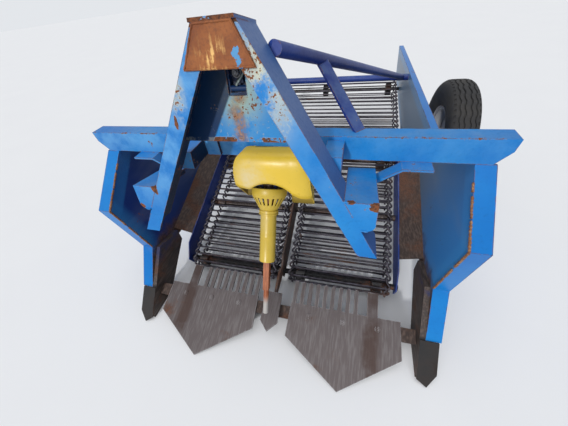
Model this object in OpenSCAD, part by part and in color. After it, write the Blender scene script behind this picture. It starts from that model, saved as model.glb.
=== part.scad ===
// Two-row mounted potato harvester of the elevator-digger kind.
// Millimetres. +Z is up, +Y points to the rear (away from the tractor), +X is to
// the right when the machine is looked at from the tractor. The origin is on the
// ground under the middle of the machine.
// All side sizes below are distances behind the share points, called "behind".

/* [Overall] */
// distance between the two potato rows
row_spacing = 700; // [650:10:720]
// length from the share points to the rear end of the side walls
machine_length = 3050; // [2990:10:3150]

/* [Headstock] */
// height of the lower end of the headstock legs above the ground
leg_foot_z = 669; // [650:1:690]
// distance of the lower end of the legs behind the share points
leg_foot_y = 232; // [215:1:250]
// half of the headstock's width at the foot, to the outer faces
leg_foot_x = 425; // [410:1:440]
// half of the headstock's width at the top, to the outer faces
leg_top_x = 56; // [50:1:60]
// length of a leg's outline along the leaning plane
leg_length = 616; // [590:1:640]
// how far the headstock leans to the rear, degrees
lean = 11.6; // [9:0.1:13]
// width of a leg's front flange
leg_flange = 58; // [50:1:64]
// depth of a leg's outer web
leg_depth = 130; // [122:1:140]
// thickness of the headstock's plates
leg_t = 10; // [8:1:12]
// height of the rusty top plate along the leaning plane
top_plate_h = 93; // [80:1:110]
// depth of the web plate behind the front plane
web_plate_depth = 100; // [90:1:108]
// lower edge of the web plate, measured up the leaning plane
web_plate_foot = 322; // [300:1:340]
// width of the latch window
window_w = 56; // [46:1:64]
// height of the latch window
window_h = 70; // [50:1:80]
// lower edge of the latch window, measured up the leaning plane
window_foot = 454; // [440:1:470]
// lower edge of the lower link brackets, measured up the leaning plane
bracket_low = 98; // [85:1:110]
// height of the lower link brackets along the leaning plane
bracket_h = 92; // [80:1:104]
// outer side of the lower link brackets, from the middle plane
bracket_x = 406; // [398:1:412]
// radius of the lower link pin hole, category 2
link_hole_r = 14.5; // [14.2:0.1:15]

/* [Beam and struts] */
// half length of the front beam along its top edge
beam_x = 789; // [770:1:800]
// distance of the beam's front face behind the share points
beam_y = 525; // [515:1:540]
// depth of the beam
beam_d = 65; // [60:1:70]
// height of the beam
beam_h = 86; // [80:1:90]
// top of the beam above the ground
beam_top = 921; // [905:1:935]
// how far the beam's lower edge is cut in at each end
beam_cut = 40; // [20:1:50]
// diameter of the back struts
strut_d = 40; // [34:1:46]
// diameter of the rear cross bar
rear_bar_d = 48; // [42:1:54]
// distance of the rear cross bar behind the share points
rear_bar_y = 2095; // [2050:5:2150]
// height of the rear cross bar's axis
rear_bar_z = 650; // [640:1:656]

/* [Side walls] */
// half of the distance between the inner faces of the side walls
wall_x = 700; // [696:1:706]
// thickness of the side walls
wall_t = 5; // [4:0.5:6]
// width of the flange along the wall's front edge
band_w = 62; // [50:1:64]
// height of the wall's top edge behind the beam
wall_top = 685; // [680:1:700]
// height of the wall's lower edge
wall_foot = 215; // [200:1:225]

/* [Shares] */
// half width of one share
share_half = 264; // [250:1:268]
// thickness of the share plates
share_t = 10; // [8:1:12]
// angle of the shares to the ground
rake = 18.8; // [17:0.1:20]
// length of the fingers behind each share
finger_l = 112; // [80:1:118]
// number of fingers on each share
finger_n = 9; // [7:1:9]
// distance from one finger to the next
finger_pitch = 38; // [34:0.5:40]
// width of a finger
finger_w = 20; // [14:1:24]

/* [Rod webs] */
// spacing of the rods along the main webs
main_pitch = 42; // [38:1:50]
// spacing of the rods along the cascade web
cascade_pitch = 58; // [50:1:66]
// radius of the rods over their corners
rod_r = 5.8; // [5:0.1:6.2]
// how far a rod's hooked end leans in to the next rod
hook_in = 30; // [22:1:36]
// width of the rollers and sprockets that carry the webs
roll_w = 48; // [40:1:56]
// gap between the two main webs
web_gap = 64; // [56:1:70]
// outer end of the main web rods from the middle plane
main_web_x = 578; // [570:1:582]
// outer end of the cascade web rods from the middle plane
cascade_x = 672; // [660:1:680]

/* [Drive] */
// height of the input shaft above the ground
input_z = 700; // [690:1:706]
// distance of the side drive tube behind the share points
drive_tube_y = 655; // [648:1:664]
// height of the side drive tube
drive_tube_z = 812; // [804:1:816]
// width of the gearbox
gearbox_w = 210; // [190:2:230]
// half width of the yellow shaft hood at its foot
hood_half = 152; // [146:1:156]
// how far the bent hood sits to the right of the shaft
hood_shift = 36; // [20:1:40]
// sheet thickness of the hood
hood_t = 4; // [3:0.5:5]

/* [Drive shaft] */
// angle at which the free half of the shaft hangs below the level
droop = 57; // [52:1:62]
// radius of the shaft's guard tube
guard_r = 32; // [28:1:34]
// length from the joint to the end of the guard tube
guard_end = 330; // [300:5:350]
// length from the joint to the end of the inner profile
profile_end = 470; // [450:5:480]
// length from the joint to the end of the steel tail
tail_end = 588; // [560:2:600]

/* [Wheels] */
// outer radius of the tyres
tyre_r = 367.5; // [360:0.5:370]
// width of the tyres
tyre_w = 180; // [165:1:190]
// half of the track of the support wheels
wheel_x = 965; // [950:1:980]
// distance of the wheel axle behind the share points
wheel_y = 1665; // [1640:5:1700]
// radius of the stub axles
axle_r = 20; // [18:0.5:22]

/* [Hidden] */
row_x = row_spacing / 2;
y_front = -share_t * sin(rake);
y_mid = (y_front + machine_length) / 2;
running = 0.06;
seat = 0.3;
eps = 0.01;

beam_z = beam_top - beam_h;
beam_rear = beam_y + beam_d;

// slope of a leg's outer edge in the leaning plane
leg_slope = (leg_foot_x - leg_top_x) / leg_length;
leg_width_t = leg_t * sqrt(1 + leg_slope * leg_slope);

// main web rollers: place behind the share points, height, radius
main_front = [505, 88, 38];
main_rear = [1275, 372, 58];
main_slope = atan2(main_rear[1] - main_front[1], main_rear[0] - main_front[0]);
// cascade web rollers, in the same order
cascade_front = [1425, 205, 38];
cascade_rear = [2480, 440, 58];

// the rods lie on their rollers
rod_out = rod_r * cos(30) + seat;

front_shaft_r = 15;
drive_shaft_r = 17.5;
rail_x = 598;
rail_t = 6;
divider_t = 10;

gearbox_y = 605;
gearbox_l = 190;
gearbox_z = 612;
gearbox_top = 852;
joint_y = 515;
hood_front = 432;
hood_top = 880;
hood_foot = 620;
drive_tube_r = 26;
case_w = 45;

// ball, neck, sleeve and cone of the drive shaft; lengths run from the joint
joint_r = 19;
tail_r = 12;
sleeve_r = 22;
sleeve_end = 112;
neck_r = 12;
neck_end = 38;
profile_w = 26;
guard_r2 = 65;
cone_start = 40;
cone_end = 128;

rim_r = 203;
hub_r = 52;
hub_half = 58;
axle_plate_t = 10;

// moves "behind the share points" to the frame's origin
module place() {
    translate([0, -y_mid, 0]) children();
}

// the same piece on the other side of the machine
module other_side() {
    mirror([1, 0, 0]) children();
}

// an outline drawn in (behind, height) becomes a slab from x0, w wide
module slab(x0, w) {
    translate([x0, 0, 0]) rotate([90, 0, 90]) linear_extrude(w) children();
}

// the headstock's leaning frame: x across, y to the rear, z up along the legs
module leaning() {
    translate([0, leg_foot_y, leg_foot_z]) rotate([-lean, 0, 0]) children();
}

// an outline drawn in (across, up the leaning plane) becomes a plate from depth y0
module leaning_plate(y0, t) {
    leaning() translate([0, y0 + t, 0]) rotate([90, 0, 0]) linear_extrude(t) children();
}

// half-width of the headstock's outer edge at height v up the leaning plane
function leg_x(v) = leg_foot_x - leg_slope * v;

// a round bar between two points
module bar(p, q, r) {
    d = q - p;
    translate(p)
        rotate([0, acos(d[2] / norm(d)), atan2(d[1], d[0])])
            cylinder(r = r, h = norm(d));
}

// an endless path round two rollers c1 and c2 = [behind, height, radius]
function gap_of(c1, c2) = norm([c2[0] - c1[0], c2[1] - c1[1]]);
function tilt_of(c1, c2) = atan2(c2[1] - c1[1], c2[0] - c1[0]);
function cone_of(c1, c2) = asin((c2[2] - c1[2]) / gap_of(c1, c2));
function top_angle(c1, c2) = tilt_of(c1, c2) + cone_of(c1, c2) + 90;
function low_angle(c1, c2) = tilt_of(c1, c2) - cone_of(c1, c2) - 90;
function run_of(c1, c2) = gap_of(c1, c2) * cos(cone_of(c1, c2));
function arc2_of(c1, c2) = c2[2] * PI * (180 + 2 * cone_of(c1, c2)) / 180;
function arc1_of(c1, c2) = c1[2] * PI * (180 - 2 * cone_of(c1, c2)) / 180;
function loop_of(c1, c2) = 2 * run_of(c1, c2) + arc1_of(c1, c2) + arc2_of(c1, c2);
function on_circle(c, r, a) = [c[0] + r * cos(a), c[1] + r * sin(a)];

// point [behind, height, outward angle] at distance u along the path, o outside it
function along(c1, c2, u, o) =
    let (run = run_of(c1, c2), far = arc2_of(c1, c2), ta = top_angle(c1, c2), la = low_angle(c1, c2))
    u < run ? point(mix2(on_circle(c1, c1[2] + o, ta), on_circle(c2, c2[2] + o, ta), u / run), ta) :
    u < run + far ? turn(c2, o, ta - (u - run) / c2[2] * 180 / PI) :
    u < 2 * run + far ?
        point(mix2(on_circle(c2, c2[2] + o, la), on_circle(c1, c1[2] + o, la), (u - run - far) / run), la) :
    turn(c1, o, la - (u - 2 * run - far) / c1[2] * 180 / PI);
function point(p, a) = [p[0], p[1], a];
function turn(c, o, a) = point(on_circle(c, c[2] + o, a), a);
function mix2(p, q, t) = p + (q - p) * t;

// outline of a case round two shafts, o outside their circles, with n steps a half turn
module strap_outline(c1, c2, o, n) {
    ta = top_angle(c1, c2);
    la = low_angle(c1, c2);
    polygon(concat(
        [for (i = [0:n]) on_circle(c2, c2[2] + o, ta + (la - ta) * i / n)],
        [for (i = [0:n]) on_circle(c1, c1[2] + o, la + (ta - 360 - la) * i / n)]
    ));
}

// one hooked rod web: rods from x0 to x1, and at both ends of each rod an arm that
// runs forward and hooks round the next rod
module rod_web(c1, c2, pitch, x0, x1) {
    loop = loop_of(c1, c2);
    count = round(loop / pitch);
    step = loop / count;
    for (i = [0:count - 1]) {
        p = along(c1, c2, (i + 0.5) * step, rod_out);
        q = along(c1, c2, ((i + 1) % count + 0.5) * step, rod_out);
        slab(x0, x1 - x0) translate([p[0], p[1]]) rotate(p[2] + 30) circle(r = rod_r, $fn = 6);
        // end = [x of the bend, inwards]
        for (end = [[x0, 1], [x1, -1]])
            bar([end[0] + end[1] * arm_r, p[0], p[1]],
                [end[0] + end[1] * hook_in, q[0], q[1]] + hook_past(p, q, end[1]), arm_r, $fn = 6);
    }
}

arm_r = 5.2;
hook_l = 8;
function hook_past(p, q, inwards) =
    let (d = [inwards * (hook_in - arm_r), q[0] - p[0], q[1] - p[1]]) d / norm(d) * hook_l;

// a star wheel: a disc of radius r with n round notches
module star(r, n) {
    difference() {
        circle(r = r, $fn = 64);
        for (i = [0:n - 1]) rotate(i * 360 / n) translate([r + 0.28 * r, 0]) circle(r = 0.42 * r, $fn = 32);
    }
}

// Headstock

module leg_form() {
    top_in = leg_x(leg_length) - leg_flange;
    leaning_plate(0, leg_t) intersection() {
        polygon([[leg_foot_x - leg_flange, 0], [leg_foot_x, 0],
            [leg_top_x, leg_length], [top_in, leg_length]]);
        square([leg_foot_x, leg_length]);
    }
    leaning_plate(leg_t - eps, leg_depth - leg_t + eps) polygon([
        [leg_foot_x - leg_width_t, 0], [leg_foot_x, 0],
        [leg_top_x, leg_length], [leg_top_x - leg_width_t, leg_length]
    ]);
}

module headstock_leg_right() color("royalblue") place() leg_form();
module headstock_leg_left() color("royalblue") other_side() place() leg_form();

module headstock_top_plate() color("sienna") place() {
    low = leg_length - top_plate_h;
    leaning_plate(-8, 8) polygon([
        [-leg_x(low) + 18, low], [leg_x(low) - 18, low],
        [leg_x(leg_length) - 8, leg_length], [-leg_x(leg_length) + 8, leg_length]
    ]);
}

module headstock_web_plate() color("dodgerblue") place() {
    foot = web_plate_foot;
    in_low = leg_x(foot) - leg_width_t;
    in_top = leg_x(leg_length) - leg_width_t;
    leaning_plate(web_plate_depth, 8) difference() {
        polygon([[-in_low, foot], [in_low, foot], [in_top, leg_length], [-in_top, leg_length]]);
        translate([window_x - window_w / 2, window_foot]) square([window_w, window_h]);
    }
}

// the window sits a little to the left of the middle
window_x = -8;
keeper_t = 6;

// top plate of the headstock with the latch keeper that hangs behind the window
module headstock_cap() color("royalblue") place() leaning() {
    back = web_plate_depth + 8 + seat;
    half = window_w / 2 + 2;
    translate([-leg_top_x, -8, leg_length]) cube([2 * leg_top_x, leg_depth + 8, 8]);
    for (x = [window_x - half, window_x + half - keeper_t])
        translate([x, back, window_foot + 6])
            cube([keeper_t, leg_depth - back, leg_length - window_foot]);
    translate([window_x - half, leg_depth - 14, window_foot + 18]) rotate([0, 90, 0])
        cylinder(r = 8, h = 2 * half, $fn = 32);
}

// bracket outside a leg: front plate, upper plate and side plate back to the beam, and
// a bent strap up to the beam's underside
module bracket_form() {
    low = bracket_low;
    high = bracket_low + bracket_h;
    side = bracket_x;
    round_r = 24;
    difference() {
        union() {
            leaning_plate(0, leg_t) {
                polygon([
                    [leg_x(low), low], [side - round_r, low], [side, low + round_r],
                    [side, high], [leg_x(high), high]
                ]);
                intersection() {
                    translate([side - round_r, low + round_r]) circle(r = round_r, $fn = 32);
                    translate([side - round_r, low]) square(round_r);
                }
            }
            leaning_plate(leg_t - eps, 320) polygon([
                [leg_x(high - 8), high - 8], [side, high - 8], [side, high], [leg_x(high), high]
            ]);
            leaning_plate(leg_t - eps, 320) polygon([
                [side - leg_t, low + round_r], [side, low + round_r], [side, high - 8 + eps],
                [side - leg_t, high - 8 + eps]
            ]);
        }
        translate([0, beam_y, 0]) cube([1000, 400, 1500]);
        link_bore();
    }
    // strap: from the side plate's rear end to the beam's underside
    translate([0, beam_y - 1, 0]) rotate([90, 0, 0]) linear_extrude(strap_w) strap_bend();
    translate([0, beam_y + 40, 0]) rotate([90, 0, 0]) linear_extrude(strap_w) polygon([
        [side + 78, beam_z - 8], [side + 172, beam_z - 8], [side + 172, beam_z], [side + 78, beam_z]
    ]);
}

strap_w = 48;
module strap_bend() {
    foot = beam_z - 58;
    polygon([
        [bracket_x - 4, foot], [bracket_x + 8, foot - 2], [bracket_x + 82, beam_z - 8],
        [bracket_x + 172, beam_z - 8], [bracket_x + 172, beam_z], [bracket_x + 78, beam_z]
    ]);
}

// bore for the lower link pin, through the bracket's side plate
link_y = 70;
link_v = 147;
module link_bore() {
    leaning() translate([bracket_x - 30, link_y, link_v]) rotate([0, 90, 0])
        cylinder(r = link_hole_r, h = 60, $fn = 48);
}

module hitch_brackets() color("dodgerblue") {
    place() bracket_form();
    other_side() place() bracket_form();
}

// square stay from a leg's rear edge to the beam's face, or to the plate on it
module stay_form(back) {
    difference() {
        translate([236, 300, beam_z + 11]) cube([58, back - 300, 62]);
        leaning() translate([0, -300, -200]) cube([600, 300 + leg_depth, 900]);
    }
}

module headstock_stays() color("royalblue") {
    place() stay_form(beam_y);
    other_side() place() stay_form(beam_y - tab_t);
}

// Beam, struts and cross bar

module front_beam() color("dodgerblue") place() {
    translate([0, beam_rear, 0]) rotate([90, 0, 0]) linear_extrude(beam_d) polygon([
        [-beam_x, beam_top], [beam_x, beam_top], [beam_x - 4, beam_top - 40],
        [beam_x - beam_cut, beam_z], [-beam_x + beam_cut, beam_z], [-beam_x + 4, beam_top - 40]
    ]);
    // round-ended plate on the beam's face, left of the middle
    translate([0, beam_y + eps, 0]) rotate([90, 0, 0]) linear_extrude(tab_t) {
        translate([tab_x + tab_r, beam_z + 6]) square([tab_l - tab_r, tab_h]);
        intersection() {
            translate([tab_x + tab_r, beam_z + 6 + tab_r]) circle(r = tab_r, $fn = 48);
            translate([tab_x, beam_z + 6]) square([tab_r, tab_h]);
        }
    }
}

tab_x = -288;
tab_l = 108;
tab_h = 66;
tab_r = 62;
tab_t = 12;

strut_a = [98, 470, 1194];
strut_b = [655, rear_bar_y, rear_bar_z];

module strut_form() {
    difference() {
        bar(strut_a, strut_b, strut_d / 2, $fn = 32);
        leaning() translate([-100, -300, 0]) cube([600, 300 + leg_depth, 900]);
        translate([0, rear_bar_y, rear_bar_z]) rotate([0, 90, 0])
            cylinder(r = rear_bar_d / 2 + 0.2, h = 900, $fn = 48);
        translate([0, rear_bar_y + 5, 0]) cube([900, 400, 900]);
    }
}

module back_strut_right() color("midnightblue") place() strut_form();
module back_strut_left() color("midnightblue") other_side() place() strut_form();

module post_form() {
    t = 0.157;
    top = strut_a + (strut_b - strut_a) * t;
    foot = [337, beam_rear - 15, beam_top];
    d = top - foot;
    difference() {
        translate(foot) rotate([0, 0, atan2(d[1], d[0])])
            rotate([0, acos(d[2] / norm(d)), 0])
                translate([-5, -22, -60]) cube([10, 44, norm(d) + 60]);
        translate([0, 0, beam_top - 500]) cube([900, 1500, 500]);
        bar(strut_a, strut_b, strut_d / 2 + 0.2, $fn = 32);
    }
}

module strut_posts() color("midnightblue") {
    place() post_form();
    other_side() place() post_form();
}

module rear_cross_bar() color("midnightblue") place() {
    translate([-wall_x + seat, rear_bar_y, rear_bar_z]) rotate([0, 90, 0])
        cylinder(r = rear_bar_d / 2, h = 2 * (wall_x - seat), $fn = 48);
}

// Side walls

// the wall's front edge, from the beam down to the knife: behind, height
wall_front = [[beam_y, beam_z], [315, 650], [380, 320], [240, 135]];

// the crest behind the beam that carries the side drive, down to the wall's top edge
crest_z = 856;
crest_y = 720;
wall_low_y = 1085;
// the lower edge: along the main webs, a dip that holds the cascade's front shaft, then
// rising under the cascade web
main_edge = [[330, wall_foot], [1180, wall_foot]];
shaft_dip = [[1330, wall_foot], [1380, 155], [1470, 155]];
cascade_edge = [[1560, 236], [machine_length - 170, 450]];
low_edge = concat(main_edge, shaft_dip, cascade_edge);

module wall_outline() {
    polygon(concat(wall_front, low_edge, [
        [machine_length, wall_top], [wall_low_y, wall_top], [crest_y, crest_z],
        [beam_rear + seat, crest_z], [beam_rear + seat, beam_z], [beam_rear, beam_z]
    ]));
}

module wall_form() {
    // shaft holes: behind, height, radius
    holes = [
        [main_rear[0], main_rear[1], drive_shaft_r + 0.1],
        [drive_tube_y, drive_tube_z, drive_tube_r - 4]
    ];
    difference() {
        slab(wall_x, wall_t) wall_outline();
        for (h = holes)
            translate([wall_x - 5, h[0], h[1]]) rotate([0, 90, 0])
                cylinder(r = h[2], h = wall_t + 10, $fn = 48);
    }
    slab(wall_x + wall_t - eps, band_w - wall_t + eps)
        polygon(concat(wall_front, [[247, 135], [387, 322], [322, 648], [beam_y + 7, beam_z]]));
    // lip along the top edge and along the lower edge
    slab(wall_x + wall_t - eps, lip_w) polygon([
        [wall_low_y, wall_top], [machine_length, wall_top], [machine_length, wall_top - wall_t],
        [wall_low_y, wall_top - wall_t]
    ]);
    for (e = [main_edge, cascade_edge])
        slab(wall_x + wall_t - eps, lip_w - 10)
            polygon([e[0], e[1], e[1] + [0, wall_t], e[0] + [0, wall_t]]);
    // flanged bearing of the cascade web's rear shaft
    slab(wall_x + wall_t - eps, 16)
        translate([cascade_rear[0], cascade_rear[1]]) circle(r = 44, $fn = 48);
}

lip_w = 35;

module side_wall_right() color("mediumblue") place() wall_form();
module side_wall_left() color("mediumblue") other_side() place() wall_form();

// the knife under the band: a plate on edge, and the black toe plate that carries the
// band on down to the ground
knife_tip = 102;
knife_w = 24;
toe_angle = atan2(wall_front[3][1], wall_front[3][0] - knife_tip);
toe_l = norm([wall_front[3][0] - knife_tip, wall_front[3][1]]) - seat;
module knife_form() {
    slab(wall_x - knife_w, knife_w) polygon([
        [knife_tip + 28, 0], [300, 0], [560, 190], [560, 270],
        [400, 300], [250, 146], [knife_tip + 28, 27]
    ]);
    translate([wall_x, knife_tip, 0]) rotate([toe_angle, 0, 0]) linear_extrude(8)
        polygon([[-knife_w, 26], [16, 0], [52, 58], [52, toe_l], [-knife_w, toe_l]]);
}

module side_knives() color("saddlebrown") {
    place() knife_form();
    other_side() place() knife_form();
}

module apron_form() {
    x0 = rail_x + rail_t;
    translate([0, main_front[0], main_front[1]]) rotate([main_slope, 0, 0])
        translate([0, apron_start + apron_l, 0]) rotate([90, 0, 0]) linear_extrude(apron_l)
            polygon([[x0, 96], [x0 + 5, 92], [wall_x, 150], [wall_x, 156]]);
}

// the apron along the main web, from just behind the knife
apron_start = 126;
apron_l = 664;

module aprons() color("saddlebrown") {
    place() apron_form();
    other_side() place() apron_form();
}

// Shares

// one share: a pointed blade, fingers behind it and a wide bar at its outer side
module share_outline() {
    w = share_half;
    polygon([[0, 0], [w, 172], [w - 4, blade_l], [-w + 4, blade_l], [-w, 172]]);
    for (i = [0:finger_n - 1])
        translate([-w + 8 + i * finger_pitch, blade_l - 1]) {
            square([finger_w, finger_l - finger_w / 2 + 1]);
            translate([finger_w / 2, finger_l - finger_w / 2 + 1]) circle(r = finger_w / 2, $fn = 24);
        }
    translate([-w + bar_place, blade_l - 1]) square([bar_w, finger_l + 1]);
}

blade_l = 330;
bar_w = 50;
bar_place = 374;

module share_form() {
    translate([row_x, 0, 0]) rotate([rake, 0, 0]) linear_extrude(share_t) share_outline();
}

module share_right() color("dimgray") place() share_form();
module share_left() color("dimgray") other_side() place() share_form();

module share_centre() color("dimgray") place() {
    translate([0, 150, 92]) rotate([14, 0, 0]) linear_extrude(share_t)
        polygon([[0, 0], [44, 46], [40, 190], [-40, 190], [-44, 46]]);
}

// upright that carries the centre share on the share beam, ahead of the divider
module centre_standard() color("sienna") place() {
    t1 = tan(rake);
    t2 = tan(14);
    slab(-6, 12) polygon([
        [256, 256 * t1], [308, 308 * t1], [440, 108], [462, 122], [462, 176], [400, 168],
        [334, 92 + (334 - 150) * t2], [200, 92 + 50 * t2]
    ]);
}

// square beam under both shares, between the knives
share_beam_y = 250;
share_beam_d = 60;
share_beam_h = 50;

module share_beam() color("midnightblue") place() {
    half = wall_x - knife_w - seat;
    rotate([rake, 0, 0]) translate([-half, share_beam_y, -share_beam_h])
        cube([2 * half, share_beam_d, share_beam_h]);
}

// Webs and what carries them

module rail_outline(c1, c2) {
    a = tilt_of(c1, c2);
    l = gap_of(c1, c2);
    translate([c1[0], c1[1]]) rotate(a) polygon([
        [-30, -28], [l + 34, -28], [l + 34, 40], [l - 30, 102], [60, 102], [-30, 40]
    ]);
}

module rail_holes() {
    for (c = [main_front, main_rear])
        translate([c[0], c[1]]) circle(r = (c == main_front ? front_shaft_r : drive_shaft_r) + 0.1, $fn = 48);
    translate([mid_y, mid_z]) circle(r = mid_r + 0.1, $fn = 48);
}

// cross tube inside the main webs, with rollers under their upper run
mid_t = 0.48;
mid_r = 17;
mid_roll_r = 28;
mid_mid = mix2([main_front[0], main_front[1]], [main_rear[0], main_rear[1]], mid_t);
mid_lift = mix1(main_front[2], main_rear[2], mid_t) - mid_roll_r - seat;
mid_y = mid_mid[0] + mid_lift * cos(top_angle(main_front, main_rear));
mid_z = mid_mid[1] + mid_lift * sin(top_angle(main_front, main_rear));
function mix1(a, b, t) = a + (b - a) * t;

module rail_form() {
    slab(rail_x, rail_t) difference() {
        rail_outline(main_front, main_rear);
        rail_holes();
    }
}

module web_rails() color("midnightblue") {
    place() rail_form();
    other_side() place() rail_form();
}

module web_divider() color("sienna") place() {
    slab(-divider_t / 2, divider_t) difference() {
        rail_outline(main_front, main_rear);
        rail_holes();
    }
}

module mid_cross_tube() color("midnightblue") place() {
    translate([0, mid_y, mid_z]) rotate([0, 90, 0]) {
        translate([0, 0, -wall_x + seat]) cylinder(r = mid_r, h = 2 * (wall_x - seat), $fn = 48);
        for (x = concat(main_rolls, -main_rolls))
            translate([0, 0, x - roll_w / 2]) cylinder(r = mid_roll_r, h = roll_w, $fn = 48);
    }
}

module main_web_right() color("silver") place()
    rod_web(main_front, main_rear, main_pitch, web_gap / 2, main_web_x);
module main_web_left() color("silver") other_side() place()
    rod_web(main_front, main_rear, main_pitch, web_gap / 2, main_web_x);

// star wheels with n notches inside a web on their shaft, x centres in rolls
module rollers(c, shaft_r, half, rolls, n) {
    translate([0, c[0], c[1]]) rotate([0, 90, 0]) {
        translate([0, 0, -half]) cylinder(r = shaft_r, h = 2 * half, $fn = 32);
        for (x = rolls)
            translate([0, 0, x - roll_w / 2]) linear_extrude(roll_w) star(c[2], n);
    }
}

// the rollers stand clear of the hooked ends
roll_in = hook_in + 16 + roll_w / 2;
main_rolls = [web_gap / 2 + roll_in, main_web_x - roll_in];

module front_rollers() color("black") place() {
    rollers(main_front, front_shaft_r, rail_x + rail_t + 12, concat(main_rolls, -main_rolls), 6);
}

module main_drive_shaft() color("dimgray") place() {
    rollers(main_rear, drive_shaft_r, wall_x + wall_t + 20, concat(main_rolls, -main_rolls), 9);
}

cascade_rolls = [-1, 0, 1] * (cascade_x - roll_in);

module cascade_web() color("silver") place()
    rod_web(cascade_front, cascade_rear, cascade_pitch, -cascade_x, cascade_x);

module cascade_front_roller() color("black") place() {
    rollers(cascade_front, front_shaft_r, wall_x - seat, cascade_rolls, 6);
}

module cascade_rear_roller() color("black") place() {
    rollers(cascade_rear, front_shaft_r, wall_x - seat, cascade_rolls, 9);
}

// Drive

// housing behind the beam, its mounting plate under the beam, cooling ribs and the
// input sleeve that reaches forward to the joint
module gearbox() color("midnightblue") place() {
    body_h = gearbox_top - gearbox_z;
    sleeve_l = gearbox_y - joint_y - joint_r - seat;
    translate([-gearbox_w / 2, gearbox_y, gearbox_z]) cube([gearbox_w, gearbox_l, body_h]);
    translate([-60, beam_y + 8, beam_z - 30]) cube([120, gearbox_y - beam_y, 30]);
    for (i = [0:4])
        translate([-gearbox_w / 2 - 8, gearbox_y + 20 + i * 36, gearbox_z + 20])
            cube([gearbox_w + 16, 8, drive_tube_z - drive_tube_r - gearbox_z - 40]);
    translate([0, joint_y + joint_r + seat, input_z]) rotate([-90, 0, 0]) {
        cylinder(r = 30, h = sleeve_l + 5, $fn = 40);
        translate([0, 0, sleeve_l - 14]) cylinder(r = 62, h = 19, $fn = 48);
    }
    // ears of the joint's fixed yoke
    difference() {
        for (x = [-ear_x - ear_t, ear_x])
            translate([x, joint_y - ear_half, input_z - ear_half])
                cube([ear_t, 2 * ear_half + joint_r, 2 * ear_half]);
        translate([-60, joint_y, input_z]) rotate([0, 90, 0])
            cylinder(r = cross_r + running, h = 120, $fn = 32);
    }
}

ear_x = 24;
ear_t = 8;
ear_half = 12;
cross_r = 8;

// half width of the hood at its shoulders, and the radii of shoulder and nose
hood_shoulder = 130;
hood_round = 84;
hood_nose = 90;
// height of the front's lower edge, and how far that edge falls to the right, degrees
hood_rim = 724;
hood_bend = 5;

// points on an arc round c from angle a0 to a1, in n steps
function arc_points(c, r, a0, a1, n) = [for (i = [0:n]) on_circle(c, r, a0 + (a1 - a0) * i / n)];

// the hood's front outline, o outside its outer skin: sides that flare, round shoulders
module hood_front_outline(o) {
    x = hood_shoulder + o - hood_round;
    z = hood_top + o - hood_round;
    polygon(concat(
        [[-hood_half - o, hood_foot - 1]], arc_points([-x, z], hood_round, 180, 90, 7),
        arc_points([x, z], hood_round, 90, 0, 7), [[hood_half + o, hood_foot - 1]]
    ));
}

// the hood's side outline in (behind, height): a nose that rolls over from the top
module hood_side_outline(o) {
    front = hood_front - o;
    top = hood_top + o;
    polygon(concat(
        [[front, hood_foot - 2]], arc_points([front + hood_nose, top - hood_nose], hood_nose, 180, 91, 7),
        [[beam_y + 30, top + 2], [beam_y + 30, hood_foot - 2]]
    ));
}

module hood_body(o, back) {
    intersection() {
        translate([hood_shift, back, 0]) rotate([90, 0, 0])
            linear_extrude(back - hood_front + 20) hood_front_outline(o);
        slab(hood_shift - hood_half - 10, 2 * hood_half + 20) hood_side_outline(o);
    }
}

// bent sheet shell round the joint, open below, arched in front, with a back plate that
// is open round the input shaft
module shaft_hood() color("gold") place() {
    arch_r = 110;
    arch_x = hood_shift - 6;
    arch_z = input_z - 36;
    open_r = 88;
    difference() {
        hood_body(0, beam_y);
        hood_body(-hood_t, beam_y - hood_t);
        translate([arch_x, hood_front + 70, arch_z]) rotate([90, 0, 0])
            cylinder(r = arch_r, h = 120, $fn = 64);
        // the foot slopes down to the rear and a little to the right
        translate([hood_shift, 0, hood_rim]) rotate([0, hood_bend, 0])
            translate([-hood_shift, 0, -hood_rim]) slab(hood_shift - 300, 600) polygon([
                [hood_front - 40, hood_rim + 52], [beam_y - 6, hood_foot + 4],
                [beam_y - 6, hood_foot - 60], [hood_front - 40, hood_foot - 60]
            ]);
        translate([0, beam_y - 40, input_z]) rotate([-90, 0, 0]) cylinder(r = open_r, h = 80, $fn = 64);
        translate([-open_r, beam_y - 40, hood_foot - 100])
            cube([2 * open_r, 80, input_z - hood_foot + 100]);
    }
}

module drive_tube() color("midnightblue") place() {
    translate([gearbox_w / 2, drive_tube_y, drive_tube_z]) rotate([0, 90, 0])
        cylinder(r = drive_tube_r, h = wall_x - seat - gearbox_w / 2, $fn = 40);
    // flanges at both ends
    translate([gearbox_w / 2, drive_tube_y, drive_tube_z]) rotate([0, 90, 0])
        cylinder(r = drive_tube_r + 10, h = 12, $fn = 40);
    translate([wall_x - seat - 12, drive_tube_y, drive_tube_z]) rotate([0, 90, 0])
        cylinder(r = drive_tube_r + 14, h = 12, $fn = 40);
}

module chain_case() color("mediumblue") place() {
    difference() {
        slab(wall_x + wall_t, case_w)
            strap_outline([main_rear[0], main_rear[1], 75], [drive_tube_y, drive_tube_z, 55], 0, 12);
        translate([wall_x, main_rear[0], main_rear[1]]) rotate([0, 90, 0])
            cylinder(r = drive_shaft_r + 0.1, h = 26, $fn = 48);
    }
}

module cascade_chain_case() color("mediumblue") other_side() place() {
    difference() {
        slab(wall_x + wall_t, case_w)
            strap_outline([main_rear[0], main_rear[1], 70], [cascade_front[0], cascade_front[1], 60], 0, 12);
        translate([wall_x, main_rear[0], main_rear[1]]) rotate([0, 90, 0])
            cylinder(r = drive_shaft_r + 0.1, h = 26, $fn = 48);
    }
}

// Free half of the drive shaft, drawn along -Z from its joint

module hanging() {
    translate([0, joint_y, input_z]) rotate([-(90 - droop), 0, 0]) children();
}

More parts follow.
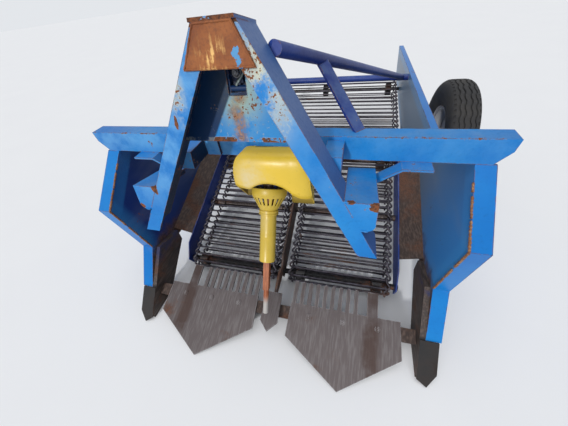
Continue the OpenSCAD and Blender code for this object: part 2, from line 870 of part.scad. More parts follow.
// the joint's cross: a turned body with a pin to both sides
module shaft_joint() color("dimgray") place() {
    r = joint_r;
    pin_end = ear_x + ear_t;
    translate([0, joint_y, input_z]) rotate([0, 90, 0]) rotate_extrude($fn = 48) polygon([
        [0, -pin_end], [cross_r, -pin_end], [cross_r, -0.9 * r], [0.71 * r, -0.7 * r],
        [0.98 * r, -0.18 * r], [0.98 * r, 0.18 * r], [0.71 * r, 0.7 * r], [cross_r, 0.9 * r],
        [cross_r, pin_end], [0, pin_end]
    ]);
}

module shaft_guard() color("gold") place() {
    hanging() mirror([0, 0, 1]) difference() {
        union() {
            translate([0, 0, cone_start])
                cylinder(r1 = guard_r2, r2 = guard_r + 3, h = cone_end - cone_start, $fn = 48);
            translate([0, 0, cone_end - eps]) cylinder(r = guard_r, h = guard_end - cone_end, $fn = 48);
            translate([0, 0, cone_end + 4]) cylinder(r = guard_r + 5, h = 12, $fn = 48);
        }
        translate([0, 0, cone_start - 1])
            cylinder(r1 = guard_r2 - 3, r2 = guard_r - 4, h = cone_end - cone_start - 24, $fn = 48);
        translate([0, 0, cone_start]) cylinder(r = sleeve_r + running, h = cone_end, $fn = 48);
        translate([0, 0, cone_end - 6]) cylinder(r = guard_r - 4, h = guard_end, $fn = 48);
    }
}

module shaft_profile() color("sienna") place() {
    hanging() mirror([0, 0, 1]) {
        translate([0, 0, joint_r + seat]) cylinder(r = neck_r, h = neck_end, $fn = 48);
        translate([0, 0, neck_end]) cylinder(r = sleeve_r, h = sleeve_end - neck_end, $fn = 48);
        translate([-profile_w / 2, -profile_w / 2, sleeve_end - eps])
            cube([profile_w, profile_w, profile_end - sleeve_end + eps]);
        translate([0, 0, profile_end - eps])
            cylinder(r = tail_r, h = tail_end - profile_end + eps, $fn = 48);
    }
}

// Wheels

// wheel carrier: an upright with adjusting holes on the wall, a sleeve and the stub axle
module axle_form() {
    x0 = wall_x + wall_t;
    post_w = 60;
    post_d = 46;
    difference() {
        union() {
            translate([x0, wheel_y - post_w / 2, tyre_r - 70])
                cube([post_d, post_w, wall_top - 40 - tyre_r + 70]);
            translate([x0, wheel_y - 70, wall_top - 130]) cube([8, 140, 80]);
            translate([x0, wheel_y, tyre_r]) rotate([0, 90, 0]) cylinder(r = 40, h = post_d + 40, $fn = 48);
        }
        for (i = [0:3])
            translate([x0 + post_d / 2, wheel_y - 60, tyre_r + 90 + i * 45]) rotate([-90, 0, 0])
                cylinder(r = 9, h = 120, $fn = 32);
    }
    translate([x0, wheel_y, tyre_r]) rotate([0, 90, 0])
        cylinder(r = axle_r, h = wheel_x + 40 - x0, $fn = 48);
}

module axle_right() color("midnightblue") place() axle_form();
module axle_left() color("midnightblue") other_side() place() axle_form();

module wheel_place() {
    translate([wheel_x, wheel_y, tyre_r]) rotate([0, 90, 0]) children();
}

// dished wheel disc with hand holes, hub and rim
module rim_form() {
    wheel_place() difference() {
        rotate_extrude($fn = 64) polygon([
            [axle_r + running, -hub_half], [hub_r, -hub_half], [hub_r, -12], [150, 10], [rim_r - 30, 10],
            [rim_r - 22, -56], [rim_r - 6, -58], [rim_r - 6, -66], [rim_r, -66], [rim_r, 66],
            [rim_r - 6, 66], [rim_r - 6, 58], [rim_r - 22, 54], [rim_r - 24, 18], [150, 18],
            [hub_r, -4], [hub_r, 30], [axle_r + running, 30]
        ]);
        for (i = [0:hand_holes - 1])
            rotate(i * 360 / hand_holes) translate([118, 0, -40]) cylinder(r = 15, h = 80, $fn = 32);
    }
}

hand_holes = 8;

module rim_right() color("lightgray") place() rim_form();
module rim_left() color("lightgray") other_side() place() rim_form();

module tyre_form() {
    wheel_place() rotate_extrude($fn = 64) polygon([
        [rim_r, -64], [rim_r + 20, -74], [rim_r + 80, -tyre_w / 2], [tyre_r - 40, -tyre_w / 2 + 2],
        [tyre_r - 14, -tyre_w / 2 + 14], [tyre_r, -46], [tyre_r, 46], [tyre_r - 14, tyre_w / 2 - 14],
        [tyre_r - 40, tyre_w / 2 - 2], [rim_r + 80, tyre_w / 2], [rim_r + 20, 74], [rim_r, 64]
    ]);
}

module tyre_right() color("black") place() tyre_form();
module tyre_left() color("black") other_side() place() tyre_form();

headstock_leg_left();
headstock_leg_right();
headstock_top_plate();
headstock_web_plate();
headstock_cap();
hitch_brackets();
headstock_stays();
front_beam();
back_strut_left();
back_strut_right();
strut_posts();
rear_cross_bar();
side_wall_left();
side_wall_right();
side_knives();
aprons();
share_left();
share_right();
share_centre();
centre_standard();
share_beam();
web_rails();
web_divider();
mid_cross_tube();
main_web_left();
main_web_right();
front_rollers();
main_drive_shaft();
cascade_web();
cascade_front_roller();
cascade_rear_roller();
gearbox();
shaft_hood();
drive_tube();
chain_case();
cascade_chain_case();
shaft_joint();
shaft_guard();
shaft_profile();
axle_left();
axle_right();
rim_left();
rim_right();
tyre_left();
tyre_right();
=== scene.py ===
# %% [markdown]
# # A two-row potato harvester
# This lesson dresses a imported CAD model of a tractor-mounted potato harvester: a leaning
# A-frame headstock, a long front beam, two deep side walls, shares, hooked rod webs and
# support wheels. The CAD gives every size. Blender adds what a lathe, a press, a welder,
# a paint gun and ten years outdoors leave behind.
#
# We load the model first and bake each part's place into its own mesh. Nothing that we add
# may grow it.

# %% Load the imported model
import math
import random

import bmesh
import bpy
from mathutils import Matrix, Vector


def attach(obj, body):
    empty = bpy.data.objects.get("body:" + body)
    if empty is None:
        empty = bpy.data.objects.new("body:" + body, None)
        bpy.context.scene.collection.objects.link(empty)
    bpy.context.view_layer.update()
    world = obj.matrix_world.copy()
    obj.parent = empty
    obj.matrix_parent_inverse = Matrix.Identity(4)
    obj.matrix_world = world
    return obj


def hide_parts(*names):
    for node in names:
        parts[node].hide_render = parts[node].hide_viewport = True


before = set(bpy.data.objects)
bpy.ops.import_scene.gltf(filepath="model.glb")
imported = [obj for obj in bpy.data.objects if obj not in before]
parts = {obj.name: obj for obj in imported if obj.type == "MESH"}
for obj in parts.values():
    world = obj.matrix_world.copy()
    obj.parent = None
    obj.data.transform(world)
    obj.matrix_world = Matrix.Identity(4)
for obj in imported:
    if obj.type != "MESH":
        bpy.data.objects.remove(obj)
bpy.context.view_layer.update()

# %% [markdown]
# ## One way to say where things are
# A machine like this is measured backwards from its share points. The same habit makes
# a scene easy to read: `at` takes millimetres across, behind the share points and above
# the ground. The headstock leans, so `lean` takes millimetres across, into the headstock
# and up along its legs.

# %% Places on the machine
SHARE_TIP = 1523.389  # mm from the share points back to the machine's middle
FOOT_BEHIND, FOOT_HEIGHT = 232, 669  # where the headstock's own measure starts
LEAN = math.radians(11.6)


def at(x, behind, z):
    return Vector((x, behind - SHARE_TIP, z)) / 1000


def lean(x, depth, up):
    behind = FOOT_BEHIND + depth * math.cos(LEAN) + up * math.sin(LEAN)
    return at(x, behind, FOOT_HEIGHT - depth * math.sin(LEAN) + up * math.cos(LEAN))


def into(depth):
    """A step of some millimetres straight into the headstock."""
    return lean(0, depth, 0) - lean(0, 0, 0)


print("the headstock's foot is at", tuple(round(v, 3) for v in lean(0, 0, 0)))

# %% [markdown]
# ## From a bmesh to a finished piece
# Every new piece goes the same way: its mesh takes its name, its faces are shaded smooth
# except across edges sharper than a chosen angle, it rides on the body that carries it,
# and it gets its materials. Marking sharp edges keeps machined corners crisp and turned
# surfaces round without another modifier.

# %% Finish a piece
def finish(name, mesh, body, slot, wears, sharp=35, stands_for=()):
    """wears: the piece's materials; stands_for: the CAD parts that it replaces."""
    if isinstance(mesh, bmesh.types.BMesh):
        shape = mesh
        mesh = bpy.data.meshes.new(name)
    else:
        shape = bmesh.new()
        shape.from_mesh(mesh)
    for face in shape.faces:
        face.smooth = True
    for edge in shape.edges:
        if len(edge.link_faces) == 2:
            edge.smooth = edge.calc_face_angle(0) < math.radians(sharp)
    shape.to_mesh(mesh)
    triangles = sum(len(face.verts) - 2 for face in shape.faces)
    shape.free()
    piece = bpy.data.objects.new(name, mesh)
    bpy.context.scene.collection.objects.link(piece)
    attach(piece, body)
    if stands_for:
        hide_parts(*stands_for)
    for material in wears:
        mesh.materials.append(material)
    print(f"{name}: {triangles} triangles on {body}")
    return piece


print("a piece can be finished")

# %% [markdown]
# ## Bent bar and weld beads
# Round bar, rolled rims and weld beads are all a circle carried along a path. Blender's
# curves do exactly that, and one curve can hold hundreds of paths. The curve becomes a
# mesh straight away, because a finished piece here is a mesh in its place.

# %% Round bar along paths
BEAD_STEP, BEAD_WANDER = 0.006, 0.0006


def bars(name, paths, radius, rings=1):
    """paths: lists of points, or of (point, share of the radius)."""
    curve = bpy.data.curves.new(name, "CURVE")
    curve.dimensions = "3D"
    curve.bevel_depth = radius
    curve.bevel_resolution = rings
    curve.use_fill_caps = True
    for path in paths:
        spline = curve.splines.new("POLY")
        spline.points.add(len(path) - 1)
        for point, place in zip(spline.points, path):
            place, share = place if isinstance(place, tuple) else (place, 1.0)
            point.co = (*place, 1.0)
            point.radius = share
    holder = bpy.data.objects.new(name, curve)
    bpy.context.scene.collection.objects.link(holder)
    bpy.context.view_layer.update()
    shown = holder.evaluated_get(bpy.context.evaluated_depsgraph_get())
    mesh = bpy.data.meshes.new_from_object(shown)
    mesh.name = name
    bpy.data.objects.remove(holder)
    return mesh


def bead(start, end, seed):
    """A hand-laid weld bead: a path whose thickness and line waver."""
    dice = random.Random(seed)
    count = max(3, int((end - start).length / BEAD_STEP))
    path = []
    for i in range(count + 1):
        wander = Vector((dice.uniform(-1, 1), dice.uniform(-1, 1), dice.uniform(-1, 1)))
        share = 0.75 + 0.35 * (i % 2) + dice.uniform(-0.12, 0.12)
        path.append((start.lerp(end, i / count) + wander * BEAD_WANDER, share))
    return path


print("bent bar and weld beads are ready")

# %% [markdown]
# ## Shader sums that read like sums
# A weathered paint is arithmetic on noise. Written node by node it is unreadable, so one
# small class wraps a socket and lets `1 - mask * 0.5` build its own Math nodes. Colours
# go through Mix, because a Math node would turn them grey.

# %% A socket that does arithmetic
class Value:
    def __init__(self, finish, socket):
        self.finish = finish
        self.socket = socket

    def maths(self, operation, *numbers):
        sockets = dict(enumerate(numbers))
        return self.finish.node("ShaderNodeMath", {"operation": operation}, sockets)

    def __add__(self, other):
        return self.maths("ADD", self, other)

    def __sub__(self, other):
        return self.maths("SUBTRACT", self, other)

    def __rsub__(self, other):
        return self.maths("SUBTRACT", other, self)

    def __mul__(self, other):
        return self.maths("MULTIPLY", self, other)

    def __or__(self, other):
        return self.maths("MAXIMUM", self, other)

    def __abs__(self):
        return self.maths("ABSOLUTE", self)

    __radd__ = __add__
    __rmul__ = __mul__


print("sockets can be added, subtracted, multiplied and joined")

# %% [markdown]
# ## A finish: one material being mixed
# `Finish` starts a material with its shader and the object's own coordinates, which are
# the machine's coordinates in metres. A blotch can therefore be given a place on the
# machine, such as "under the latch window", and it stays there from every side.

# %% The mixing bench
class Finish:
    def __init__(self, name):
        self.material = bpy.data.materials.new(name)
        self.material.use_nodes = True
        self.tree = self.material.node_tree
        self.shader = self.tree.nodes["Principled BSDF"]
        self.place = self.node("ShaderNodeTexCoord", {}, {}, "Object")
        self.x, self.y, self.z = (
            self.node("ShaderNodeSeparateXYZ", {}, {0: self.place}, axis) for axis in "XYZ"
        )

    def node(self, kind, settings, sockets, out=0):
        made = self.tree.nodes.new(kind)
        for key, setting in settings.items():
            setattr(made, key, setting)
        for key, value in sockets.items():
            self.feed(made.inputs[key], value)
        return Value(self, made.outputs[out])

    def feed(self, socket, value):
        if isinstance(value, Value):
            self.tree.links.new(value.socket, socket)
        elif isinstance(value, tuple) and len(value) == 3 and socket.type == "RGBA":
            socket.default_value = (*value, 1)
        else:
            socket.default_value = value

    def vector(self, operation, first, second=(0, 0, 0), out=0):
        sockets = {0: first, 1: second}
        return self.node("ShaderNodeVectorMath", {"operation": operation}, sockets, out)

    def noise(self, scale, detail=4, rough=0.55, stretch=(1, 1, 1)):
        where = self.node("ShaderNodeMapping", {}, {"Vector": self.place, "Scale": stretch})
        return self.node("ShaderNodeTexNoise", {}, {
            "Vector": where, "Scale": scale, "Detail": detail, "Roughness": rough})

    def fade(self, value, low, high, start=0.0, end=1.0):
        """A soft step from start at low to end at high, which may be the smaller one."""
        return self.node("ShaderNodeMapRange", {"interpolation_type": "SMOOTHSTEP"}, {
            "Value": value, "From Min": low, "From Max": high, "To Min": start, "To Max": end})

    def mix(self, mask, under, over):
        return self.node("ShaderNodeMix", {"data_type": "RGBA"}, {0: mask, 6: under, 7: over}, 2)

    def near(self, centre, reach, stretch=(1, 1, 1)):
        """1 at a place on the machine, falling to 0 at reach, longer along stretch."""
        away = self.vector("SUBTRACT", self.place, tuple(centre))
        length = self.vector("LENGTH", self.vector("DIVIDE", away, stretch), out="Value")
        return self.fade(length, reach, 0)

    def facing(self, direction):
        """How far the surface looks in a direction of the machine, 0 to 1."""
        normal = self.node("ShaderNodeNewGeometry", {}, {}, "True Normal")
        return self.fade(self.vector("DOT_PRODUCT", normal, direction, "Value"), 0.35, 0.85)

    def edges(self, width):
        """1 on corners and edges: there a rounded normal and the true one differ."""
        rounded = self.node("ShaderNodeBevel", {"samples": 4}, {"Radius": width})
        normal = self.node("ShaderNodeNewGeometry", {}, {}, "Normal")
        return self.fade(self.vector("DOT_PRODUCT", rounded, normal, "Value"), 0.995, 0.86)

    def done(self, colour, rough, height=None, depth=0.001, metal=0.0):
        self.feed(self.shader.inputs["Base Color"], colour)
        self.feed(self.shader.inputs["Roughness"], rough)
        self.feed(self.shader.inputs["Metallic"], metal)
        if height is not None:
            bump = self.node("ShaderNodeBump", {}, {
                "Height": height, "Distance": depth, "Strength": 0.6})
            self.feed(self.shader.inputs["Normal"], bump)
        print("finish:", self.material.name)
        return self.material


def tone(red, green, blue):
    """A colour as seen on a screen, 0 to 255, as the linear values that a shader wants."""
    shares = (red / 255, green / 255, blue / 255)
    return tuple(c / 12.92 if c <= 0.04045 else ((c + 0.055) / 1.055) ** 2.4 for c in shares)


RUST, DARK_RUST, BROWN = tone(124, 74, 46), tone(72, 48, 38), tone(98, 66, 50)
UNDERCOAT = tone(196, 198, 176)
print("rust in linear values:", tuple(round(c, 3) for c in RUST))

# %% [markdown]
# ## Weathered paint
# Sun bleaches the broad faces, stones chip the edges, and rust creeps in from each chip.
# So the paint is layered as on the machine: a blue that drifts to its faded tone, a pale
# undercoat where a coupler has rubbed, then rust along the edges and in spots, with a
# rim of undercoat that is a little wider than the rust. The same recipe, with other
# numbers, gives the light blue, the navy, the gearbox paint and the wheels' grey.

# %% Paint recipe
PAINT_SHINE = 0.3  # old paint mirrors less than the shader's usual 0.5


def weathered(name, fresh, faded, chips=0.5, edge=0.004, rough=0.42, marks=None):
    """chips: how much has broken off, 0 to 1; edge: how wide a corner wears, in metres."""
    f = Finish(name)
    f.shader.inputs["Specular IOR Level"].default_value = PAINT_SHINE
    cloud, blotch = f.noise(2.4, 5), f.noise(11, 8, 0.62)
    grain, fine = f.noise(95, 5, 0.65), f.noise(420, 2)
    coat = f.mix(f.fade(cloud, 0.36, 0.66), fresh, faded)
    coat = f.mix(f.fade(grain, 0.5, 0.72) * 0.22, coat, tuple(c * 0.6 for c in fresh))
    bleached = f.facing((0, 0, 1)) * f.fade(blotch, 0.35, 0.7)
    coat = f.mix(bleached * 0.3, coat, tone(120, 146, 172))
    level = 0.68 - 0.12 * chips
    worn = f.edges(edge) * f.fade(blotch + grain * 0.3, level, level + 0.1)
    level = 0.715 - 0.03 * chips
    mask = worn | f.fade(blotch * 0.7 + grain * 0.42, level, level + 0.04)
    if marks:
        coat, more = marks(f, coat, blotch, grain)
        mask = mask | more
    rust = f.mix(f.fade(grain, 0.38, 0.62), DARK_RUST, RUST)
    rust = f.mix(f.fade(fine, 0.5, 0.75) * 0.5, rust, tone(158, 104, 64))
    colour = f.mix(f.fade(mask, 0.06, 0.3) * 0.32, coat, UNDERCOAT)
    colour = f.mix(f.fade(mask, 0.3, 0.6), colour, rust)
    rough_map = f.fade(mask, 0.2, 0.6, rough, 0.88) + f.fade(grain, 0.4, 0.7, 0, 0.1)
    height = f.fade(mask, 0.2, 0.7) * (grain * 0.8) + fine * 0.12
    return f.done(colour, rough_map, height, 0.0012)


def patch(f, blotch, grain, *spots):
    """Broken patches: a soft spot plus strong noise, cut at one level, has a ragged border."""
    near = f.near(*spots[0])
    for spot in spots[1:]:
        near = near | f.near(*spot)
    return f.fade(near + (blotch - 0.5) * 2.2 + (grain - 0.5) * 1.2, 0.56, 0.68)


# %% [markdown]
# ## Marks that have a place
# Some wear has a cause, and so a place: a coupler rubs the legs' fronts, rust runs down
# from the latch window. Painted shade has a place too: the left leg's shadow on the web
# plate, the recess behind the window and the legs' sides that face away from the key
# lamp. Each mark is a soft spot at a point of the machine, broken up by noise, which
# needs no unwrapping and shows no pixels.

# %% Marks of use and painted shade on the headstock
RUST_PATCHES = (  # place, reach, stretch
    (lean(-318, 0, 185), 0.034, (0.6, 1, 1.5)), (lean(-160, 0, 400), 0.03, (0.5, 1, 1.4)),
    (lean(398, 0, 180), 0.03), (lean(330, 0, 196), 0.03), (lean(-398, 0, 110), 0.03),
)
LEG_SLOPE = 0.611  # how far the left leg's shady edge moves across for each metre up


def leg_marks(f, coat, blotch, grain):
    """Bleached fronts, undercoat where the coupler rubs, rust; painted shade behind the window and
    on the legs' +X sides.
    """
    front, right = f.facing((0, -0.98, 0.2)), f.facing((1, 0, 0))
    broken = blotch + grain * 0.3
    upper = front * f.fade(f.z, 0.7, 0.95) * f.fade(blotch, 0.3, 0.62)
    coat = f.mix(upper * f.fade(f.x, 0.1, -0.1, 0.22, 0.6), coat, tone(116, 178, 222))
    # painted shade: the keeper's cheeks seen through the latch window go near-black navy, as shade
    # in that recess
    keeper = f.fade(f.near(lean(-8, 140, 470), 0.1, (0.7, 0.8, 1.2)), 0.1, 0.3)
    coat = f.mix(keeper * 0.9, coat, tone(12, 26, 66))
    rubbed = f.near(lean(112, 0, 520), 0.24, (0.5, 1, 1))
    rubbed = (rubbed | f.near(lean(-140, 0, 490), 0.13, (0.3, 1, 1))) * front
    coat = f.mix(rubbed * f.fade(broken, 0.5, 0.7), coat, UNDERCOAT)
    # painted shade: faces looking +X, away from the key lamp, go near black left of the middle
    # (the left leg's inner side) and mauve right of it (the right leg's outer side)
    coat = f.mix(right * f.fade(f.x, -0.03, -0.06) * 0.94, coat, tone(5, 12, 36))
    coat = f.mix(right * f.fade(f.x, 0.03, 0.06) * 0.6, coat, tone(84, 84, 128))
    specks = rubbed * f.fade(grain * 0.8 + blotch * 0.4, 0.63, 0.69)
    cap_rim = front * f.fade(f.z, 1.262, 1.268) * f.fade(broken, 0.56, 0.66)
    beam_edge = f.fade(f.z, 0.908, 0.92) * f.fade(f.y, -1.004, -1.0)
    beam_edge = beam_edge * f.fade(f.y, -0.985, -0.992) * f.fade(abs(f.x), 0.1, 0.3)
    beam_edge = f.fade(beam_edge * 0.5 + blotch + (grain - 0.5) * 1.2, 1.02, 1.16)
    return coat, specks | patch(f, blotch, grain, *RUST_PATCHES) | beam_edge | cap_rim


def window_marks(f, coat, blotch, grain):
    """Undercoat round the latch window, rust that runs down to the foot, and the left leg's
    painted shadow.
    """
    halo = f.near(lean(-8, 104, 462), 0.16, (0.72, 1, 1))
    coat = f.mix(halo * f.fade(blotch + grain * 0.35, 0.5, 0.7), coat, tone(162, 182, 162))
    sway = abs(f.x + 0.016 + (blotch - 0.5) * 0.09)
    line = f.fade(sway, 0.026, 0.006) * f.fade(f.z, 1.1, 1.04)
    sill = f.near(lean(-8, 104, 446), 0.036, (1, 1, 0.6))
    run = (line | sill) * f.fade(blotch + grain * 0.5, 0.52, 0.78)
    streak = f.mix(f.fade(grain, 0.4, 0.6), tone(112, 74, 52), tone(160, 112, 74))
    coat = f.mix(run * 0.9, coat, streak)
    # painted shadow: the left leg's cast shadow on the web plate, near-black navy along the leg's
    # edge, kept free of rust specks
    painted_leg_shadow = f.fade(f.x - f.z * LEG_SLOPE, -0.7, -0.708)
    coat = f.mix(painted_leg_shadow * 0.9, coat, tone(6, 16, 54))
    specks = f.near(lean(-8, 104, 440), 0.17) * f.fade(grain * 0.8 + blotch * 0.45, 0.7, 0.75)
    foot = f.fade(f.z, 0.981, 0.975) * f.fade(blotch + grain * 0.6, 0.76, 0.88)
    return coat, (specks | foot) * (1 - painted_leg_shadow * 0.8)


BLUE = weathered("blue_paint", tone(2, 108, 186), tone(22, 128, 200), 0.9, 0.0045,
                 marks=leg_marks)
LIGHT_BLUE = weathered("light_blue_paint", tone(30, 128, 198), tone(70, 154, 208), 0.9,
                       marks=window_marks)
NAVY = weathered("navy_paint", tone(18, 38, 104), tone(32, 58, 130))
GEARBOX = weathered("gearbox_paint", tone(18, 44, 100), tone(30, 56, 110), 0.8, rough=0.5)

# %% [markdown]
# ## Walls polished by soil
# The walls' outer faces and front bands are painted, but inside, soil and tubers have
# polished the paint. It is still blue next to the band, brightest in a strip along it,
# and turns to grey steel further back, with brown rust low down where wet soil lies. A
# mask from the surface's own direction tells the two faces of one plate apart. The left
# wall's inside gets darker navy tones than the right's: painted shade, as it faces away
# from the key lamp.

# %% Side wall finish
def wall_finish(name, side, by_band, far_back):
    f = Finish(name)
    cloud, blotch, grain = f.noise(2, 5), f.noise(9, 8, 0.62), f.noise(80, 5, 0.65)
    wiped = f.noise(18, 3, 0.5, (1, 0.1, 0.4))
    f.shader.inputs["Specular IOR Level"].default_value = PAINT_SHINE
    paint = f.mix(f.fade(cloud, 0.36, 0.66), tone(2, 106, 184), tone(16, 122, 196))
    paint = f.mix(f.fade(grain, 0.5, 0.75) * 0.2, paint, tone(10, 70, 120))
    backwards = f.y + f.z * 0.3 + (cloud - 0.5) * 0.4
    worn = f.mix(f.fade(backwards, -0.98, -0.3), by_band, far_back)
    worn = f.mix(f.fade(wiped, 0.5, 0.75) * 0.22, worn, tone(150, 158, 170))
    worn = f.mix(f.edges(0.08) * 0.6, worn, tone(60, 160, 232))
    low = f.fade(f.z + (blotch - 0.5) * 0.2, 0.36, 0.26) * f.fade(f.y, 0.9, 0.2)
    soil = f.mix(f.fade(grain, 0.38, 0.62), tone(66, 48, 42), tone(98, 72, 56))
    inside = f.facing((-side, 0, 0))
    colour = f.mix(inside, paint, f.mix(low, worn, soil))
    chips = f.edges(0.006) * f.fade(blotch + grain * 0.3, 0.56, 0.7)
    mask = chips | f.fade(blotch * 0.7 + grain * 0.42, 0.7, 0.75)
    rust = f.mix(f.fade(grain, 0.38, 0.62), DARK_RUST, RUST)
    colour = f.mix(f.fade(mask, 0.25, 0.6), colour, rust)
    rough = f.fade(mask | low * 0.8, 0.1, 0.7, 0.34, 0.8)
    return f.done(colour, rough, f.fade(mask, 0.2, 0.7) * grain + wiped * 0.15 * inside)


WALL_RIGHT = wall_finish("wall_right_finish", 1, tone(46, 136, 214), tone(104, 128, 154))
# painted shade: the left wall's inside is a darker navy copy of the right wall's worn blue and
# grey
WALL_LEFT_WITH_SHADE = wall_finish("wall_left_finish_with_shade", -1, tone(18, 50, 122), tone(48, 70, 116))

# %% [markdown]
# ## Bare, rusty and polished steel
# Shares, rods and rollers carry no paint. Rust is brown where soil does not rub and steel
# shows where it does, so each steel is a rust and a metal with a mask between them, and
# scratches stretched along the way the soil moves.

# %% Steel recipe
EVEN = (1, 1, 1)


def steel(name, pale, dark, rust_share, stretch=(1, 0.1, 1), rough=0.5, metal=0.6,
          crust=RUST, marks=None):
    f = Finish(name)
    blotch, grain = f.noise(6, 8, 0.6), f.noise(120, 5, 0.65)
    scratch = f.noise(140, 3, 0.5, stretch)
    bare = f.mix(f.fade(scratch, 0.4, 0.72), dark, pale)
    rust = f.mix(f.fade(grain, 0.36, 0.62), DARK_RUST, crust)
    mask = f.fade(blotch + grain * 0.2 + rust_share * 0.5, 0.8, 0.98)
    colour = f.mix(mask, bare, rust)
    if marks:
        colour = marks(f, colour, blotch, scratch)
    rough_map, metal_map = f.fade(mask, 0, 1, rough, 0.9), f.fade(mask, 0, 1, metal, 0.0)
    return f.done(colour, rough_map, grain * 0.6 + scratch * 0.2, 0.0006, metal_map)


def share_marks(f, colour, blotch, scratch):
    """A brown stripe in line with the outer bar, and an edge ground bright by stones."""
    off = abs(f.x) + (blotch - 0.5) * 0.05
    stripe = f.fade(off, 0.43, 0.465) * f.fade(off, 0.54, 0.5)
    stripe = stripe * f.fade(f.z + (blotch - 0.5) * 0.1, 0.0, 0.04)
    colour = f.mix(stripe * f.fade(blotch, 0.3, 0.55) * 0.85, colour, tone(62, 44, 38))
    ground = f.edges(0.006) * f.fade(scratch, 0.35, 0.6)
    return f.mix(ground * 0.7, colour, tone(164, 162, 164))


def knife_marks(f, colour, blotch, scratch):
    """Black toe plates, and paint left at the upper edge of the blades."""
    toe = f.facing((0, -0.69, 0.72)) * f.fade(f.z, 0.15, 0.14) | f.fade(abs(f.x), 0.7, 0.702)
    black = f.mix(f.fade(blotch, 0.4, 0.65), tone(13, 12, 14), tone(38, 30, 27))
    paint = f.fade(f.z, 0.2, 0.28) * f.fade(blotch, 0.5, 0.6)
    return f.mix(paint * 0.7, f.mix(toe, colour, black), tone(20, 50, 96))


def tail_marks(f, colour, blotch, scratch):
    """The drive shaft's tail end is ground bright."""
    return f.mix(f.fade(f.z, 0.29, 0.25), colour, tone(168, 164, 160))


SHARE_STEEL = steel("share_steel", tone(104, 98, 98), tone(88, 80, 80), 0.25,
                    (1, 0.05, 0.3), 0.5, 0.5, BROWN, share_marks)
ROD_STEEL = steel("rod_steel", tone(92, 88, 98), tone(52, 48, 56), 0.3,
                  (0.2, 1, 1), 0.5, 0.4, tone(100, 70, 56))
BROWN_STEEL = steel("brown_steel", tone(92, 76, 68), tone(58, 46, 42), 0.5,
                    rough=0.7, metal=0.2, crust=BROWN)
KNIFE_STEEL = steel("knife_steel", tone(90, 78, 72), tone(56, 48, 46), 0.45,
                    rough=0.65, metal=0.2, crust=BROWN, marks=knife_marks)
LATCH_PAINT = steel("latch_paint", tone(34, 52, 92), tone(14, 20, 40), 0.15, EVEN, 0.4, 0.2)
HANDLE_STEEL = steel("handle_steel", tone(150, 160, 156), tone(110, 122, 118), 0.1,
                     EVEN, 0.4, 0.4)
BLACK_STEEL = steel("black_steel", tone(44, 42, 44), tone(22, 21, 23), 0.3, EVEN, 0.55, 0.3)
DARK_SHAFT = steel("shaft_steel", tone(96, 86, 82), tone(54, 46, 44), 0.5,
                   EVEN, 0.45, 0.5, BROWN)
RUST_WELD = steel("rust_weld", tone(168, 130, 96), tone(120, 78, 50), 0.4,
                  EVEN, 0.8, 0.0, tone(136, 80, 46))
BOLT_STEEL = steel("bolt_steel", tone(140, 140, 142), tone(92, 92, 96), 0.4, EVEN, 0.4, 0.8)
PROFILE_STEEL = steel("profile_steel", tone(176, 104, 60), tone(140, 76, 42), 0.3,
                      (1, 0.15, 0.15), 0.5, 0.1, tone(150, 84, 46), tail_marks)

# %% [markdown]
# ## The wear plate
# The plate at the top of the headstock is where the tractor's coupler slides in. It is
# rusty, but rubbed: golden scratches run up its middle, and one flake of the old blue
# paint is left at its lower right. The flake has a sharp border because paint breaks
# off, so its mask is a hard step in a noise instead of a soft fade.

# %% Wear plate finish
def wear_plate():
    f = Finish("wear_plate")
    cloud, blotch, grain = f.noise(9, 6, 0.6), f.noise(34, 6, 0.65), f.noise(150, 4, 0.6)
    scratch = f.noise(110, 4, 0.6, (1, 0.07, 0.07))
    colour = f.mix(f.fade(cloud, 0.35, 0.65), tone(122, 64, 27), tone(154, 91, 44))
    colour = f.mix(f.fade(grain, 0.45, 0.7) * 0.5, colour, tone(104, 60, 36))
    middle = f.near(lean(-8, -8, 546), 0.068, (0.9, 1, 0.9))
    rubbed = middle * f.fade(scratch + (blotch - 0.5) * 0.9, 0.5, 0.68)
    colour = f.mix(rubbed, colour, tone(232, 182, 104))
    rim = f.edges(0.003) * f.fade(blotch, 0.35, 0.55)
    colour = f.mix(rim * 0.7, colour, tone(84, 52, 38))
    flake = f.near(lean(50, -8, 550), 0.032, (0.9, 1, 0.9)) + (blotch - 0.5) * 3.4
    flake = f.fade(flake + (f.noise(62, 3) - 0.5) * 2, 0.56, 0.6)
    flake = flake * f.fade(f.near(lean(52, -8, 546), 0.036, (1, 1, 0.9)), 0.05, 0.2)
    colour = f.mix(flake, colour, tone(60, 136, 188))
    rough = f.fade(rubbed | flake, 0, 1, 0.72, 0.42)
    return f.done(colour, rough, grain * 0.7 + scratch * 0.5 + flake, 0.0006)


WEAR_PLATE = wear_plate()

# %% [markdown]
# ## Yellow plastic, rubber and wheel paint
# The hood and guard are moulded plastic: nearly one colour, a soft sheen, a dusty bloom
# on the side that faces the weather, and a fine stipple. Their inside is darker, from oil
# and from painted shade, and the hood's inner left has a dark brown patch of painted
# shade and dirt. Rubber is near black with grey dust in it. The wheel discs are pale
# paint with rust at the holes.

